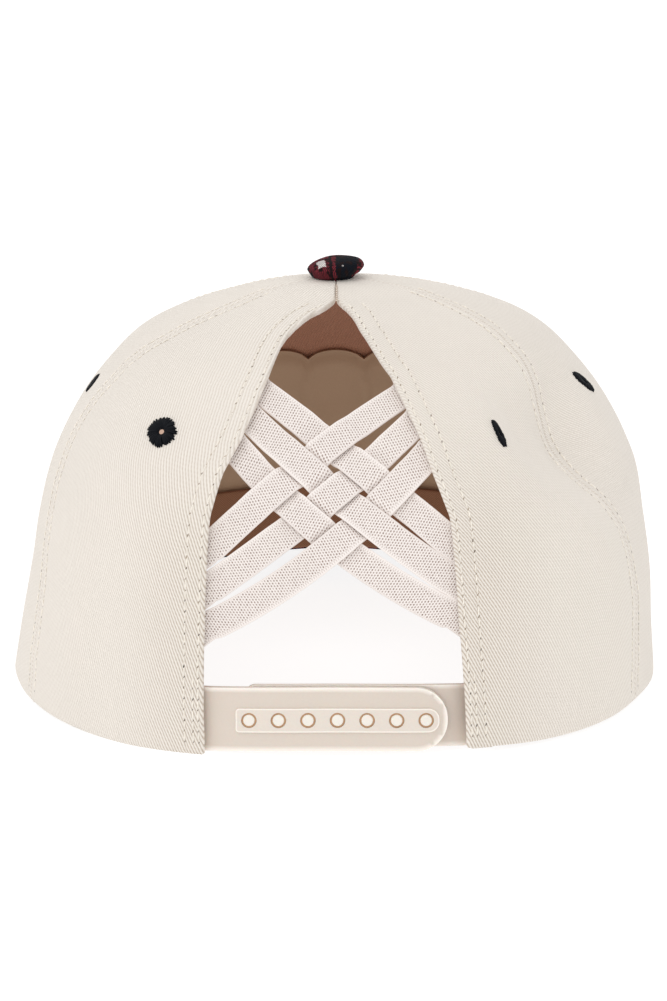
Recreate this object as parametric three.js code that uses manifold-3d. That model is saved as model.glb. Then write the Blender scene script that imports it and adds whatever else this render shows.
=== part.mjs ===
// A five-panel trucker cap with an open, laced back and a snap closure.
// Millimetres, +Z up. The cap faces +Y, and its back opening faces -Y.
// The origin is the centre of the head opening, in the plane of the rim.
// An azimuth is an angle in degrees round Z: 0 at the back, 90 on +X, 180 at the front.
import * as THREE from 'three';
import { mergeVertices } from 'three/addons/utils/BufferGeometryUtils.js';
import Module from 'manifold-3d';

const wasm = await Module();
wasm.setup();

// Driving sizes of the crown

// Outer form, a row for each level from rim to top: how far the cloth reaches each way,
// and how square its section is (2 is an ellipse).
const CROWN = [
  { height: 0, left: 89.5, right: 88.5, back: 97, front: 97, square: 2.35 },
  { height: 14, left: 87.3, right: 87.6, back: 96.3, front: 96.5, square: 2.4 },
  { height: 30, left: 84.5, right: 87, back: 94.3, front: 95, square: 2.4 },
  { height: 46, left: 82, right: 85, back: 91, front: 93, square: 2.4 },
  { height: 60, left: 78.3, right: 82.3, back: 86, front: 90, square: 2.4 },
  { height: 73, left: 72.2, right: 76, back: 78, front: 84.5, square: 2.4 },
  { height: 84, left: 64.2, right: 68.6, back: 68, front: 76, square: 2.3 },
  { height: 93, left: 55.3, right: 60, back: 55.5, front: 63, square: 2.3 },
  { height: 100, left: 42.5, right: 49.3, back: 42, front: 45.5, square: 2.2 },
  { height: 105, left: 28.8, right: 34.6, back: 29, front: 29, square: 2.1 },
  { height: 108.5, left: 16.3, right: 19.2, back: 16, front: 13.5, square: 2.1 },
  { height: 110, left: 3, right: 3.5, back: 3, front: 3.5, square: 2 },
];
const TOP_LEVEL = CROWN.length - 1;

// How far the rim rises above the surface that the cap rests on, by angle from the back
// to each side. The cap rests on the left of its back rim and on the visor.
const RIM_LIFT = [
  { turned: 0, left: 0, right: 0 },
  { turned: 18, left: 0, right: 1.8 },
  { turned: 35, left: 0, right: 1.1 },
  { turned: 50, left: 1, right: 1.5 },
  { turned: 65, left: 2, right: 2.4 },
  { turned: 95, left: 2, right: 2 },
  { turned: 125, left: 5, right: 5 },
  { turned: 155, left: 10.5, right: 10.5 },
  { turned: 180, left: 13.5, right: 13.5 },
];
const LIFT_FADE = 70; // height at which the lift has faded out

// Seams between the back and side panels, as angles left and right of the back.
const SIDE_SEAMS = [
  { height: 0, left: 61, right: 59.5 },
  { height: 30, left: 62.5, right: 60.5 },
  { height: 50, left: 65, right: 59.5 },
  { height: 65, left: 68, right: 57.5 },
  { height: 80, left: 71, right: 57.5 },
  { height: 90, left: 70, right: 58.5 },
  { height: 98, left: 67, right: 60.5 },
  { height: 105, left: 66, right: 66 },
  { height: 110, left: 70, right: 72 },
];
const FRONT_SEAM = 127; // angle of the seams beside the front panel

// Hemmed edges of the back opening, as angles left and right of the back.
const OPENING = [
  { height: 0, left: 20.5, right: 20.4 },
  { height: 35, left: 21.2, right: 19.75 },
  { height: 50, left: 21.7, right: 19.8 },
  { height: 62, left: 22.2, right: 20 },
  { height: 72, left: 21.5, right: 18.5 },
  { height: 80, left: 19.8, right: 17.75 },
  { height: 88, left: 18.8, right: 16.4 },
  { height: 94, left: 18.1, right: 15.2 },
  { height: 97, left: 17.9, right: 14 },
  { height: 99.5, left: 17.6, right: 12.7 },
  { height: 101.3, left: 16.6, right: 11.3 },
  { height: 103, left: 14.6, right: 9.6 },
  { height: 104.3, left: 12, right: 8.1 },
  { height: 105.4, left: 9, right: 6.3 },
  { height: 106.5, left: 4.8, right: 3.4 },
  { height: 107.3, left: 0, right: 0 },
];
const APEX_HEIGHT = 107.3;

// Dents and swellings: where, how far they spread, and how far they move the cloth out.
const DENTS = [
  { azimuth: 57, height: 76, across: 12, along: 15, out: -11 },
  { azimuth: 43, height: 79, across: 5, along: 12, out: -3 },
  { azimuth: 47, height: 48, across: 14, along: 12, out: 2 },
  { azimuth: -42, height: 62, across: 20, along: 18, out: 1.5 },
  { azimuth: -39, height: 22, across: 7, along: 12, out: -1.2 },
];

// Cloth and bands
const CLOTH = 1.6; // wall of a panel
const HEM = 2.4; // folded edge of the back opening
const HEM_WIDTH = 8;
const SEAM_GAP = 0.3;
const SINK = 0.3; // how far pieces run into each other where one solid is made of several
const LINING = {
  near: 2.1, far: 3.1, half: 50, lowest: 11, height: 70.5, scallop: 2.6, pitch: 11.1, rows: 5,
};
const BAND = {
  near: 3.6, far: 4.8, start: 27.5, lowest: 0.06, height: 20, drop: 3.3, dropFrom: 4, columns: 44,
};

// Elastic straps, numbered from the top: heights of the middle line at each edge of the opening,
// and how far its middle is bowed upwards.
const STRAPS_DOWN_RIGHT = [
  { left: 88.6, right: 54.3, bow: 1.5 },
  { left: 82.7, right: 44.6, bow: -1.2 },
  { left: 76.3, right: 35.5, bow: -4 },
];
const STRAPS_DOWN_LEFT = [
  { left: 52.4, right: 87.7, bow: 2.4 },
  { left: 42.2, right: 81.6, bow: -0.9 },
  { left: 32.6, right: 74.9, bow: -4.1 },
];
const BOW_STEPS = 6; // steps that find where two bowed straps cross
const STRAP = {
  width: 7.5, thickness: 1, weave: 0.72, change: 0.7, ease: 4, tuck: 6, depth: 3.5,
  endSteps: 4, widthSteps: 2,
};

// Snap closure: two plastic straps, one with holes and one with pegs.
const CLOSURE = {
  middle: 10.1, height: 16.8, arch: 1.1, archHalf: 34, tuck: 7.5, tip: 29, near: 2.8, base: 1.2,
  relief: 0.5, border: 1.7, pegStart: -23, pegRise: 0.55, pegBase: 1.2,
  pegNarrower: 0.5, gap: 0.3, step: 4, arcSteps: 6, clear: 1,
};
const PAD = { middle: 9.9, height: 6.1, left: -26.1, right: 26.9 };
const HOLES = {
  count: 7, pitch: 7.71, aside: 0.4, radius: 2.05, pegRadius: 1.65, pegInset: 0.2, sides: 16,
};

const BUTTON = {
  radius: 7.9, rise: 4, stem: 1.9, stemLength: 3, stemTop: 0.4, lean: 6, seat: 1.7, aside: -0.1,
  domeSteps: 5, sides: 18,
};
// The button's turned-in underside, as radius and height.
const BUTTON_UNDER = [[6.5, -0.9], [7.6, -0.7]];

const EYELETS = [
  { name: 'eyelet_back_left', azimuth: -38.2, height: 79.5 },
  { name: 'eyelet_side_left', azimuth: -92, height: 80.3 },
  { name: 'eyelet_back_right', azimuth: 35.2, height: 79.9 },
  { name: 'eyelet_side_right', azimuth: 80, height: 83.7 },
];
const EYELET = {
  radius: 5, crest: 3.75, inner: 0.9, cut: 2.6, cutLength: 12, barrel: 2.2, proud: 1, behind: 0.2,
  gap: 0.4, sides: 16,
};

const VISOR = {
  half: 61, reach: 167, flare: 4, rests: 74, thickness: 3, inset: 3, middle: 9, end: 0.98, gap: 0.3,
  columns: 28, rows: 5, sideCurve: 0.85, frontCurve: 0.8,
};

// Materials
const CREAM = { color: 0xebe4da, roughness: 0.9 };
const TAUPE = { color: 0x866b56, roughness: 0.9 };
const BROWN = { color: 0x5e412b, roughness: 0.85 };
const ELASTIC = { color: 0xe4dcd5, roughness: 0.8 };
const PLASTIC = { color: 0xe0d5c9, roughness: 0.4 };
const CHECK = { color: 0x1b1d26, roughness: 0.9 };
const THREAD = { color: 0x161b22, roughness: 0.8 };

const group = new THREE.Group();

function add(name, geometry, material) {
  const mesh = new THREE.Mesh(geometry, new THREE.MeshStandardMaterial({ metalness: 0, ...material }));
  mesh.name = name;
  group.add(mesh);
  return mesh;
}

const radians = THREE.MathUtils.degToRad;
const degrees = THREE.MathUtils.radToDeg;
const lerp = THREE.MathUtils.lerp;
const smooth = (value) => THREE.MathUtils.smoothstep(value, 0, 1);

// Reading the tables

// A column of a table at a place between its rows, on a Catmull-Rom curve.
function between(rows, column, place) {
  const last = rows.length - 1;
  const i = THREE.MathUtils.clamp(Math.floor(place), 0, last - 1);
  const t = THREE.MathUtils.clamp(place, 0, last) - i;
  const from = rows[i][column];
  const to = rows[i + 1][column];
  const before = i > 0 ? rows[i - 1][column] : 2 * from - to;
  const after = i + 2 <= last ? rows[i + 2][column] : 2 * to - from;
  const slopeFrom = (to - before) / 2;
  const slopeTo = (after - from) / 2;
  return (2 * t ** 3 - 3 * t * t + 1) * from + (t ** 3 - 2 * t * t + t) * slopeFrom
    + (3 * t * t - 2 * t ** 3) * to + (t ** 3 - t * t) * slopeTo;
}

// The place between rows at which a rising column reaches a value.
function placeOf(rows, column, value) {
  const last = rows.length - 1;
  if (value >= rows[last][column]) return last;
  let low = 0;
  let high = last;
  for (let i = 0; i < 30; i += 1) {
    const middle = (low + high) / 2;
    if (between(rows, column, middle) < value) low = middle;
    else high = middle;
  }
  return low;
}

// A column where another one, the key, has a value: straight between the rows.
function lookUp(rows, key, column, value) {
  let i = 0;
  while (i < rows.length - 2 && rows[i + 1][key] < value) i += 1;
  const t = (value - rows[i][key]) / (rows[i + 1][key] - rows[i][key]);
  return lerp(rows[i][column], rows[i + 1][column], THREE.MathUtils.clamp(t, 0, 1));
}

const levelAt = (height) => placeOf(CROWN, 'height', height);
const heightAt = (level) => between(CROWN, 'height', level);

// The crown's surface

function rimLift(azimuth) {
  const turned = ((azimuth + 540) % 360) - 180;
  return between(RIM_LIFT, turned < 0 ? 'left' : 'right', placeOf(RIM_LIFT, 'turned', Math.abs(turned)));
}

// A point of the plain outer form, before dents.
function formPoint(azimuth, level) {
  const sin = Math.sin(radians(azimuth));
  const cos = Math.cos(radians(azimuth));
  const side = between(CROWN, sin < 0 ? 'left' : 'right', level);
  const end = between(CROWN, cos > 0 ? 'back' : 'front', level);
  const square = between(CROWN, 'square', level);
  const reach = (Math.abs(sin / side) ** square + Math.abs(cos / end) ** square) ** (-1 / square);
  const height = heightAt(level);
  const lift = rimLift(azimuth) * (1 - smooth(height / LIFT_FADE));
  return new THREE.Vector3(reach * sin, -reach * cos, height + lift);
}

function formNormal(azimuth, level) {
  const step = 0.02;
  const low = Math.max(level - step, 0);
  const high = Math.min(level + step, TOP_LEVEL);
  const along = formPoint(azimuth + 1, level).sub(formPoint(azimuth - 1, level));
  const up = formPoint(azimuth, high).sub(formPoint(azimuth, low));
  return along.cross(up).normalize();
}

// Length of the back's profile up to each level, to measure up the slope.
const PROFILE_STEPS = 60;
const profileLength = [0];
for (let i = 1; i <= PROFILE_STEPS; i += 1) {
  const here = formPoint(0, (TOP_LEVEL * i) / PROFILE_STEPS);
  const there = formPoint(0, (TOP_LEVEL * (i - 1)) / PROFILE_STEPS);
  profileLength.push(profileLength[i - 1] + here.distanceTo(there));
}
const slopeLength = (level) => {
  const place = (level / TOP_LEVEL) * PROFILE_STEPS;
  const i = Math.min(Math.floor(place), PROFILE_STEPS - 1);
  return lerp(profileLength[i], profileLength[i + 1], place - i);
};

// How far the dents move the cloth out at a place.
function dentOut(azimuth, level) {
  const point = formPoint(azimuth, level);
  const radius = Math.hypot(point.x, point.y);
  let out = 0;
  for (const dent of DENTS) {
    const turn = ((azimuth - dent.azimuth + 540) % 360) - 180;
    const across = (radians(turn) * radius) / dent.across;
    const along = (slopeLength(level) - slopeLength(levelAt(dent.height))) / dent.along;
    out += dent.out * Math.exp(-0.5 * (across * across + along * along));
  }
  return out;
}

// A point of the cloth at a depth under the outer face. The rim's cut edge is level.
function clothPoint(azimuth, level, depth) {
  const point = formPoint(azimuth, level);
  const normal = formNormal(azimuth, level);
  if (level <= 0) normal.setZ(0).normalize();
  return point.addScaledVector(normal, dentOut(azimuth, level) - depth);
}

// Degrees round the crown that span a length there.
function degreesFor(length, azimuth, level) {
  const point = formPoint(azimuth, level);
  return degrees(length / Math.hypot(point.x, point.y));
}

// Closed solids from grids

function fromPoints(points, faces) {
  const places = points.flatMap((point) => point.toArray());
  const geometry = new THREE.BufferGeometry();
  geometry.setAttribute('position', new THREE.Float32BufferAttribute(places, 3));
  geometry.setIndex(faces);
  geometry.computeVertexNormals();
  return geometry;
}

// Joins two grids of points, an outer and an inner one, into a closed shell.
function shell(outer, inner) {
  const rows = outer.length;
  const columns = outer[0].length;
  const points = [...outer.flat(), ...inner.flat()];
  const faces = [];
  const outside = (j, i) => j * columns + i;
  const inside = (j, i) => rows * columns + j * columns + i;
  const quad = (a, b, c, d) => faces.push(a, b, c, a, c, d);
  for (let j = 0; j < rows - 1; j += 1) {
    for (let i = 0; i < columns - 1; i += 1) {
      quad(outside(j, i), outside(j, i + 1), outside(j + 1, i + 1), outside(j + 1, i));
      quad(inside(j, i), inside(j + 1, i), inside(j + 1, i + 1), inside(j, i + 1));
    }
  }
  for (let i = 0; i < columns - 1; i += 1) {
    quad(inside(0, i), inside(0, i + 1), outside(0, i + 1), outside(0, i));
    const top = rows - 1;
    quad(outside(top, i), outside(top, i + 1), inside(top, i + 1), inside(top, i));
  }
  for (let j = 0; j < rows - 1; j += 1) {
    quad(outside(j, 0), outside(j + 1, 0), inside(j + 1, 0), inside(j, 0));
    const end = columns - 1;
    quad(inside(j, end), inside(j + 1, end), outside(j + 1, end), outside(j, end));
  }
  return fromPoints(points, faces);
}

// A shell over rows and columns, where place gives a point for a row, column and side.
function gridShell(rows, columns, place) {
  const grid = (isOuter) => rows.map((row) => columns.map((column) => place(row, column, isOuter)));
  return shell(grid(true), grid(false));
}

const steps = (count, from = 0, to = 1) => (
  Array.from({ length: count + 1 }, (_, i) => lerp(from, to, i / count))
);

function toSolid(geometry) {
  const bare = geometry.clone();
  bare.deleteAttribute('normal');
  bare.deleteAttribute('uv');
  const merged = mergeVertices(bare, 1e-4);
  return new wasm.Manifold(new wasm.Mesh({
    numProp: 3,
    vertProperties: new Float32Array(merged.attributes.position.array),
    triVerts: new Uint32Array(merged.index.array),
  }));
}

function toGeometry(solid) {
  const mesh = solid.getMesh();
  const geometry = new THREE.BufferGeometry();
  geometry.setAttribute('position', new THREE.BufferAttribute(mesh.vertProperties, 3));
  geometry.setIndex(new THREE.BufferAttribute(mesh.triVerts, 1));
  geometry.computeVertexNormals();
  return geometry;
}

// Panels

const halfGap = (azimuth, level) => degreesFor(SEAM_GAP / 2, azimuth, level);

const openingEdge = (side, level) => (
  heightAt(level) >= APEX_HEIGHT ? 0 : lookUp(OPENING, 'height', side, heightAt(level))
);
const sideSeam = (side, level) => lookUp(SIDE_SEAMS, 'height', side, heightAt(level));

// Levels of a panel's rows: even ones, then closer ones where the opening narrows.
const EVEN_ROWS = { count: 12, top: 103 };
const UPPER_ROWS = [105.4, APEX_HEIGHT, 108.7];
const PANEL_LEVELS = [
  ...steps(EVEN_ROWS.count, 0, levelAt(EVEN_ROWS.top)), ...UPPER_ROWS.map(levelAt), TOP_LEVEL,
];

// A cutter for an eyelet's hole, square to the cloth.
function eyeletCutter({ azimuth, height }) {
  const level = levelAt(height);
  const cutter = new THREE.CylinderGeometry(EYELET.cut, EYELET.cut, EYELET.cutLength, EYELET.sides);
  const turn = new THREE.Quaternion().setFromUnitVectors(
    new THREE.Vector3(0, 1, 0),
    facing(azimuth, level),
  );
  cutter.applyQuaternion(turn);
  const centre = clothPoint(azimuth, level, CLOTH / 2);
  cutter.translate(centre.x, centre.y, centre.z);
  return toSolid(cutter);
}

// The direction that the dented cloth faces at a place.
function facing(azimuth, level) {
  const turn = degreesFor(2, azimuth, level);
  const along = clothPoint(azimuth + turn, level, 0).sub(clothPoint(azimuth - turn, level, 0));
  const up = clothPoint(azimuth, level + 0.15, 0).sub(clothPoint(azimuth, level - 0.15, 0));
  return along.cross(up).normalize();
}

function withEyelets(geometry, names) {
  let solid = toSolid(geometry);
  for (const eyelet of EYELETS.filter(({ name }) => names.includes(name))) {
    solid = solid.subtract(eyeletCutter(eyelet));
  }
  return toGeometry(solid);
}

// A back panel runs from the hemmed edge of the opening to its side seam.
function backPanel(side) {
  const sign = side === 'left' ? -1 : 1;
  const hemColumns = [0, HEM_WIDTH, HEM_WIDTH + 1];
  const plainColumns = steps(side === 'left' ? 9 : 12).slice(1);
  const columns = [
    ...hemColumns.map((width) => ({ width, hem: width <= HEM_WIDTH })),
    ...plainColumns.map((share) => ({ share, hem: false })),
  ];
  const place = (level, column, isOuter) => {
    const edge = openingEdge(side, level) + halfGap(0, level);
    const seam = sideSeam(side, level) - halfGap(0, level);
    const hemTurn = Math.min(degreesFor(1, 0, level), (seam - edge) / 20);
    const hemEnd = edge + hemTurn * (HEM_WIDTH + 1);
    const turned = column.share === undefined
      ? edge + hemTurn * column.width
      : lerp(hemEnd, seam, column.share);
    return clothPoint(sign * turned, level, isOuter ? 0 : (column.hem ? HEM : CLOTH));
  };
  const ordered = side === 'left' ? columns.reverse() : columns;
  return gridShell(PANEL_LEVELS, ordered, place);
}

// A side or front panel runs between two seams, given as functions of the level.
function panel(columns, from, to) {
  const place = (level, share, isOuter) => {
    const gap = halfGap(0, level);
    const azimuth = lerp(from(level) + gap, to(level) - gap, share);
    return clothPoint(azimuth, level, isOuter ? 0 : CLOTH);
  };
  return gridShell(PANEL_LEVELS, steps(columns), place);
}

add('back_left_panel', withEyelets(backPanel('left'), ['eyelet_back_left']), CREAM);
add('back_right_panel', withEyelets(backPanel('right'), ['eyelet_back_right']), CREAM);
add('side_left_panel', withEyelets(
  panel(11, () => -FRONT_SEAM, (level) => -sideSeam('left', level)),
  ['eyelet_side_left'],
), CREAM);
add('side_right_panel', withEyelets(
  panel(12, (level) => sideSeam('right', level), () => FRONT_SEAM),
  ['eyelet_side_right'],
), CREAM);
add('front_panel', panel(14, () => FRONT_SEAM, () => 360 - FRONT_SEAM), CREAM);

// Embroidered eyelets: a ring on the cloth with a barrel through it

for (const { name, azimuth, height } of EYELETS) {
  const level = levelAt(height);
  const slope = slopeLength(level + 0.5) - slopeLength(level - 0.5);
  const ring = (radius, depth) => Array.from({ length: EYELET.sides }, (_, i) => {
    const angle = (2 * Math.PI * i) / EYELET.sides;
    const turn = degreesFor(radius * Math.cos(angle), azimuth, level);
    return clothPoint(azimuth + turn, level + (radius * Math.sin(angle)) / slope, depth);
  });
  const top = -EYELET.gap - EYELET.proud;
  const under = -EYELET.gap;
  const back = CLOTH + EYELET.behind;
  const section = [
    [EYELET.inner, back], [EYELET.barrel, back], [EYELET.barrel, under], [EYELET.radius, under],
    [EYELET.crest, top], [EYELET.inner, (top + under) / 2],
  ].map(([radius, depth]) => ring(radius, depth));
  const points = section.flat();
  const faces = [];
  section.forEach((_, k) => {
    const next = (k + 1) % section.length;
    for (let i = 0; i < EYELET.sides; i += 1) {
      const j = (i + 1) % EYELET.sides;
      const [a, b] = [k * EYELET.sides + i, k * EYELET.sides + j];
      const [c, d] = [next * EYELET.sides + j, next * EYELET.sides + i];
      faces.push(a, b, c, a, c, d);
    }
  });
  add(name, fromPoints(points, faces), THREAD);
}

// Front lining with a scalloped top, and the sweatband

const scallopRise = (azimuth) => {
  const phase = (azimuth - 180) / LINING.pitch + 0.5;
  return LINING.scallop * (1 - (2 * (phase - Math.floor(phase)) - 1) ** 2);
};
const liningCopies = Math.round((2 * LINING.half) / LINING.pitch);
const liningHalf = (liningCopies * LINING.pitch) / 2;
add('front_lining', gridShell(
  steps(LINING.rows),
  steps(liningCopies * 4, 180 - liningHalf, 180 + liningHalf),
  (share, azimuth, isOuter) => {
    const low = levelAt(LINING.lowest);
    const high = levelAt(LINING.height + scallopRise(azimuth));
    return clothPoint(azimuth, lerp(low, high, share), isOuter ? LINING.near : LINING.far);
  },
), TAUPE);

add('sweatband', gridShell(
  steps(2),
  steps(BAND.columns, BAND.start, 360 - BAND.start),
  (share, azimuth, isOuter) => {
    const level = lerp(BAND.lowest, levelAt(BAND.height), share);
    const point = clothPoint(azimuth, level, isOuter ? BAND.near : BAND.far);
    const dropped = smooth((rimLift(azimuth) - BAND.dropFrom) / BAND.dropFrom);
    const drop = BAND.drop * dropped * (1 - share);
    return point.setZ(point.z - drop);
  },
), BROWN);

// Elastic straps, woven over and under across the opening

// Where the plain form's face lies at a sideways place and height on the back.
function backFace(x, height) {
  const level = levelAt(height);
  const side = between(CROWN, x < 0 ? 'left' : 'right', level);
  const square = between(CROWN, 'square', level);
  return -between(CROWN, 'back', level) * (1 - Math.abs(x / side) ** square) ** (1 / square);
}

// The same face, at a depth measured square to it.
function backFaceAt(x, height, depth) {
  const step = 0.5;
  const across = (backFace(x + step, height) - backFace(x - step, height)) / (2 * step);
  const upward = (backFace(x, height + step) - backFace(x, height - step)) / (2 * step);
  return backFace(x, height) + depth * Math.hypot(1, across, upward);
}

const edgeX = (side, height) => {
  const level = levelAt(height);
  const azimuth = openingEdge(side, level) * (side === 'left' ? -1 : 1);
  return formPoint(azimuth, level).x;
};

// The sheet that the straps lie in: straight from hem to hem, then along the hem's inside.
function strapSheet(x, height) {
  const left = edgeX('left', height);
  const right = edgeX('right', height);
  if (x <= left || x >= right) return backFaceAt(x, height, STRAP.depth);
  const share = (x - left) / (right - left);
  return lerp(backFaceAt(left, height, STRAP.depth), backFaceAt(right, height, STRAP.depth), share);
}

function sheetNormal(x, height) {
  const step = 0.5;
  const across = (strapSheet(x + step, height) - strapSheet(x - step, height)) / (2 * step);
  const upward = (strapSheet(x, height + step) - strapSheet(x, height - step)) / (2 * step);
  return new THREE.Vector3(across, -1, upward).normalize();
}

const sheetPoint = (x, height, out) => new THREE.Vector3(x, strapSheet(x, height), height)
  .addScaledVector(sheetNormal(x, height), out);

// A strap's middle line, from left to right, seen from behind.
function strapLine({ left, right, bow }) {
  const start = new THREE.Vector2(edgeX('left', left), left);
  const end = new THREE.Vector2(edgeX('right', right), right);
  const direction = end.clone().sub(start).normalize();
  start.addScaledVector(direction, -STRAP.tuck);
  end.addScaledVector(direction, STRAP.tuck);
  return { start, direction, length: start.distanceTo(end), bow };
}

// A place on a strap's bowed middle line.
function alongLine({ start, direction, length, bow }, at) {
  const fromMiddle = Math.min(Math.abs(2 * at - length) / (length - 2 * STRAP.tuck), 1);
  const place = start.clone().addScaledVector(direction, at);
  place.y += bow * (1 - fromMiddle ** 2);
  return place;
}

// Where a strap meets a crossing one. Each step corrects for how far both are bowed there.
function crossing(line, other) {
  const turn = line.direction.cross(other.direction);
  let at = other.start.clone().sub(line.start).cross(other.direction) / turn;
  for (let step = 0; step < BOW_STEPS; step += 1) {
    const here = alongLine(line, at);
    const otherAt = (here.x - other.start.x) / other.direction.x;
    const apart = here.y - alongLine(other, otherAt).y;
    at += (apart * other.direction.x) / turn;
  }
  return at;
}

// Stations along a strap, each with its length along the middle line and 1 for over the
// crossing strap, -1 for under it, and 0 at the hems. Between crossings it changes sides.
function stations(line, others, isOver) {
  const met = others
    .map((other, k) => ({ at: crossing(line, other), over: isOver(k) ? 1 : -1 }))
    .sort((a, b) => a.at - b.at);
  const half = (met[1].at - met[0].at) / 2;
  const flat = half - STRAP.change / 2;
  const list = met.flatMap(({ at, over }) => (
    [-flat, 0, flat].map((shift) => ({ at: at + shift, over }))
  ));
  const first = list[0].at - STRAP.ease;
  const last = list[list.length - 1].at + STRAP.ease;
  return [
    ...steps(STRAP.endSteps, 0, first).map((at) => ({ at, over: 0 })),
    ...list,
    ...steps(STRAP.endSteps, last, line.length).map((at) => ({ at, over: 0 })),
  ];
}

// A step in the sheet, as a vector in space, for a flat direction at a flat place.
function sheetStep(place, direction) {
  const ahead = place.clone().add(direction);
  return sheetPoint(ahead.x, ahead.y, 0).sub(sheetPoint(place.x, place.y, 0));
}

function strap(row, others, isOver) {
  const line = strapLine(row);
  const otherLines = others.map(strapLine);
  const upward = otherLines[1].direction.clone();
  if (line.direction.cross(upward) < 0) upward.negate();
  const place = (share, { at, over }, isOuter) => {
    const here = alongLine(line, at);
    const ahead = alongLine(line, at + 1).sub(here);
    const along = sheetStep(here, ahead).normalize();
    const slanted = sheetStep(here, upward);
    const width = slanted.addScaledVector(along, -slanted.dot(along)).length();
    here.addScaledVector(upward, (share * STRAP.width) / width);
    const out = STRAP.weave * over + (isOuter ? 0.5 : -0.5) * STRAP.thickness;
    return sheetPoint(here.x, here.y, out);
  };
  return gridShell(steps(STRAP.widthSteps, -0.5, 0.5), stations(line, otherLines, isOver), place);
}

STRAPS_DOWN_RIGHT.forEach((row, i) => {
  const isOver = (k) => (i + k) % 2 === 1;
  add(`elastic_strap_down_right_${i + 1}`, strap(row, STRAPS_DOWN_LEFT, isOver), ELASTIC);
});
STRAPS_DOWN_LEFT.forEach((row, i) => {
  const isOver = (k) => (i + k) % 2 === 0;
  add(`elastic_strap_down_left_${i + 1}`, strap(row, STRAPS_DOWN_RIGHT, isOver), ELASTIC);
});

// Snap closure

// A point of the closure: x across the back, height, and depth under the crown's outer face.
// The closure is highest in the middle and comes down towards the hems.
function closurePoint(x, height, depth) {
  const lower = CLOSURE.arch * Math.min(Math.abs(x) / CLOSURE.archHalf, 1) ** 2;
  return new THREE.Vector3(x, backFaceAt(x, height - lower, depth), height - lower);
}

// A curved slab with square or round ends, as a solid.
function slab({ left, right, middle, height, near, far, roundLeft, roundRight }) {
  const radius = height / 2;
  const arc = steps(CLOSURE.arcSteps).map((share) => radius * (1 - Math.cos((share * Math.PI) / 2)));
  const places = [];
  if (roundLeft) places.push(...arc.map((along) => ({ x: left + along, from: radius - along })));
  else places.push({ x: left, from: 0 });
  const start = roundLeft ? left + radius : left;
  const end = roundRight ? right - radius : right;
  const count = Math.max(Math.round((end - start) / CLOSURE.step), 1);
  steps(count, start, end).slice(1, -1).forEach((x) => places.push({ x, from: 0 }));
  if (roundRight) {
    places.push(...arc.map((along) => ({ x: right - along, from: radius - along })).reverse());
  } else places.push({ x: right, from: 0 });
  const blunt = radius * 0.12; // a round end stops at a short straight edge
  const half = ({ from }) => Math.max(Math.sqrt(Math.max(radius ** 2 - from ** 2, 0)), blunt);
  const place = (share, column, isOuter) => closurePoint(
    column.x,
    middle + share * half(column),
    isOuter ? near : far,
  );
  return toSolid(gridShell([-1, 1], places, place));
}

// A round post or cutter, square to the closure at x.
function post(x, height, radius, near, far) {
  const cylinder = new THREE.CylinderGeometry(radius, radius, far - near, HOLES.sides);
  const front = closurePoint(x, height, near);
  const back = closurePoint(x, height, far);
  const direction = front.clone().sub(back).normalize();
  const turn = new THREE.Quaternion().setFromUnitVectors(new THREE.Vector3(0, 1, 0), direction);
  cylinder.applyQuaternion(turn);
  const centre = front.add(back).multiplyScalar(0.5);
  cylinder.translate(centre.x, centre.y, centre.z);
  return toSolid(cylinder);
}

const holePlaces = steps(HOLES.count - 1, -(HOLES.count - 1) / 2, (HOLES.count - 1) / 2)
  .map((count) => count * HOLES.pitch + HOLES.aside);
const plateFace = CLOSURE.near + CLOSURE.relief;
const plateBack = plateFace + CLOSURE.base;
const closureLeft = edgeX('left', CLOSURE.middle) - CLOSURE.tuck;
const closureRight = edgeX('right', CLOSURE.middle) + CLOSURE.tuck;

let holeStrap = slab({
  left: closureLeft, right: CLOSURE.tip, middle: CLOSURE.middle, height: CLOSURE.height,
  near: CLOSURE.near, far: plateBack, roundRight: true,
});
holeStrap = holeStrap.subtract(slab({
  left: closureLeft - CLOSURE.clear, right: CLOSURE.tip - CLOSURE.border, middle: CLOSURE.middle,
  height: CLOSURE.height - 2 * CLOSURE.border, near: CLOSURE.near - CLOSURE.clear, far: plateFace,
  roundRight: true,
}));
holeStrap = holeStrap.add(slab({
  left: PAD.left, right: PAD.right, middle: PAD.middle, height: PAD.height,
  near: CLOSURE.near, far: plateFace + SINK, roundRight: true,
}));
for (const x of holePlaces) {
  const hole = post(x, PAD.middle, HOLES.radius, CLOSURE.near - CLOSURE.clear, plateBack + CLOSURE.clear);
  holeStrap = holeStrap.subtract(hole);
}
add('closure_hole_strap', toGeometry(holeStrap), PLASTIC);

const pegFace = plateBack + CLOSURE.gap;
let pegStrap = slab({
  left: CLOSURE.pegStart, right: closureRight, middle: CLOSURE.middle + CLOSURE.pegRise,
  height: CLOSURE.height - CLOSURE.pegNarrower, near: pegFace, far: pegFace + CLOSURE.pegBase,
});
for (const x of holePlaces) {
  const peg = post(x, PAD.middle, HOLES.pegRadius, CLOSURE.near + HOLES.pegInset, pegFace + SINK);
  pegStrap = pegStrap.add(peg);
}
add('closure_peg_strap', toGeometry(pegStrap), PLASTIC);

// Covered button, with its stem through the hole where the panels meet

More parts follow.
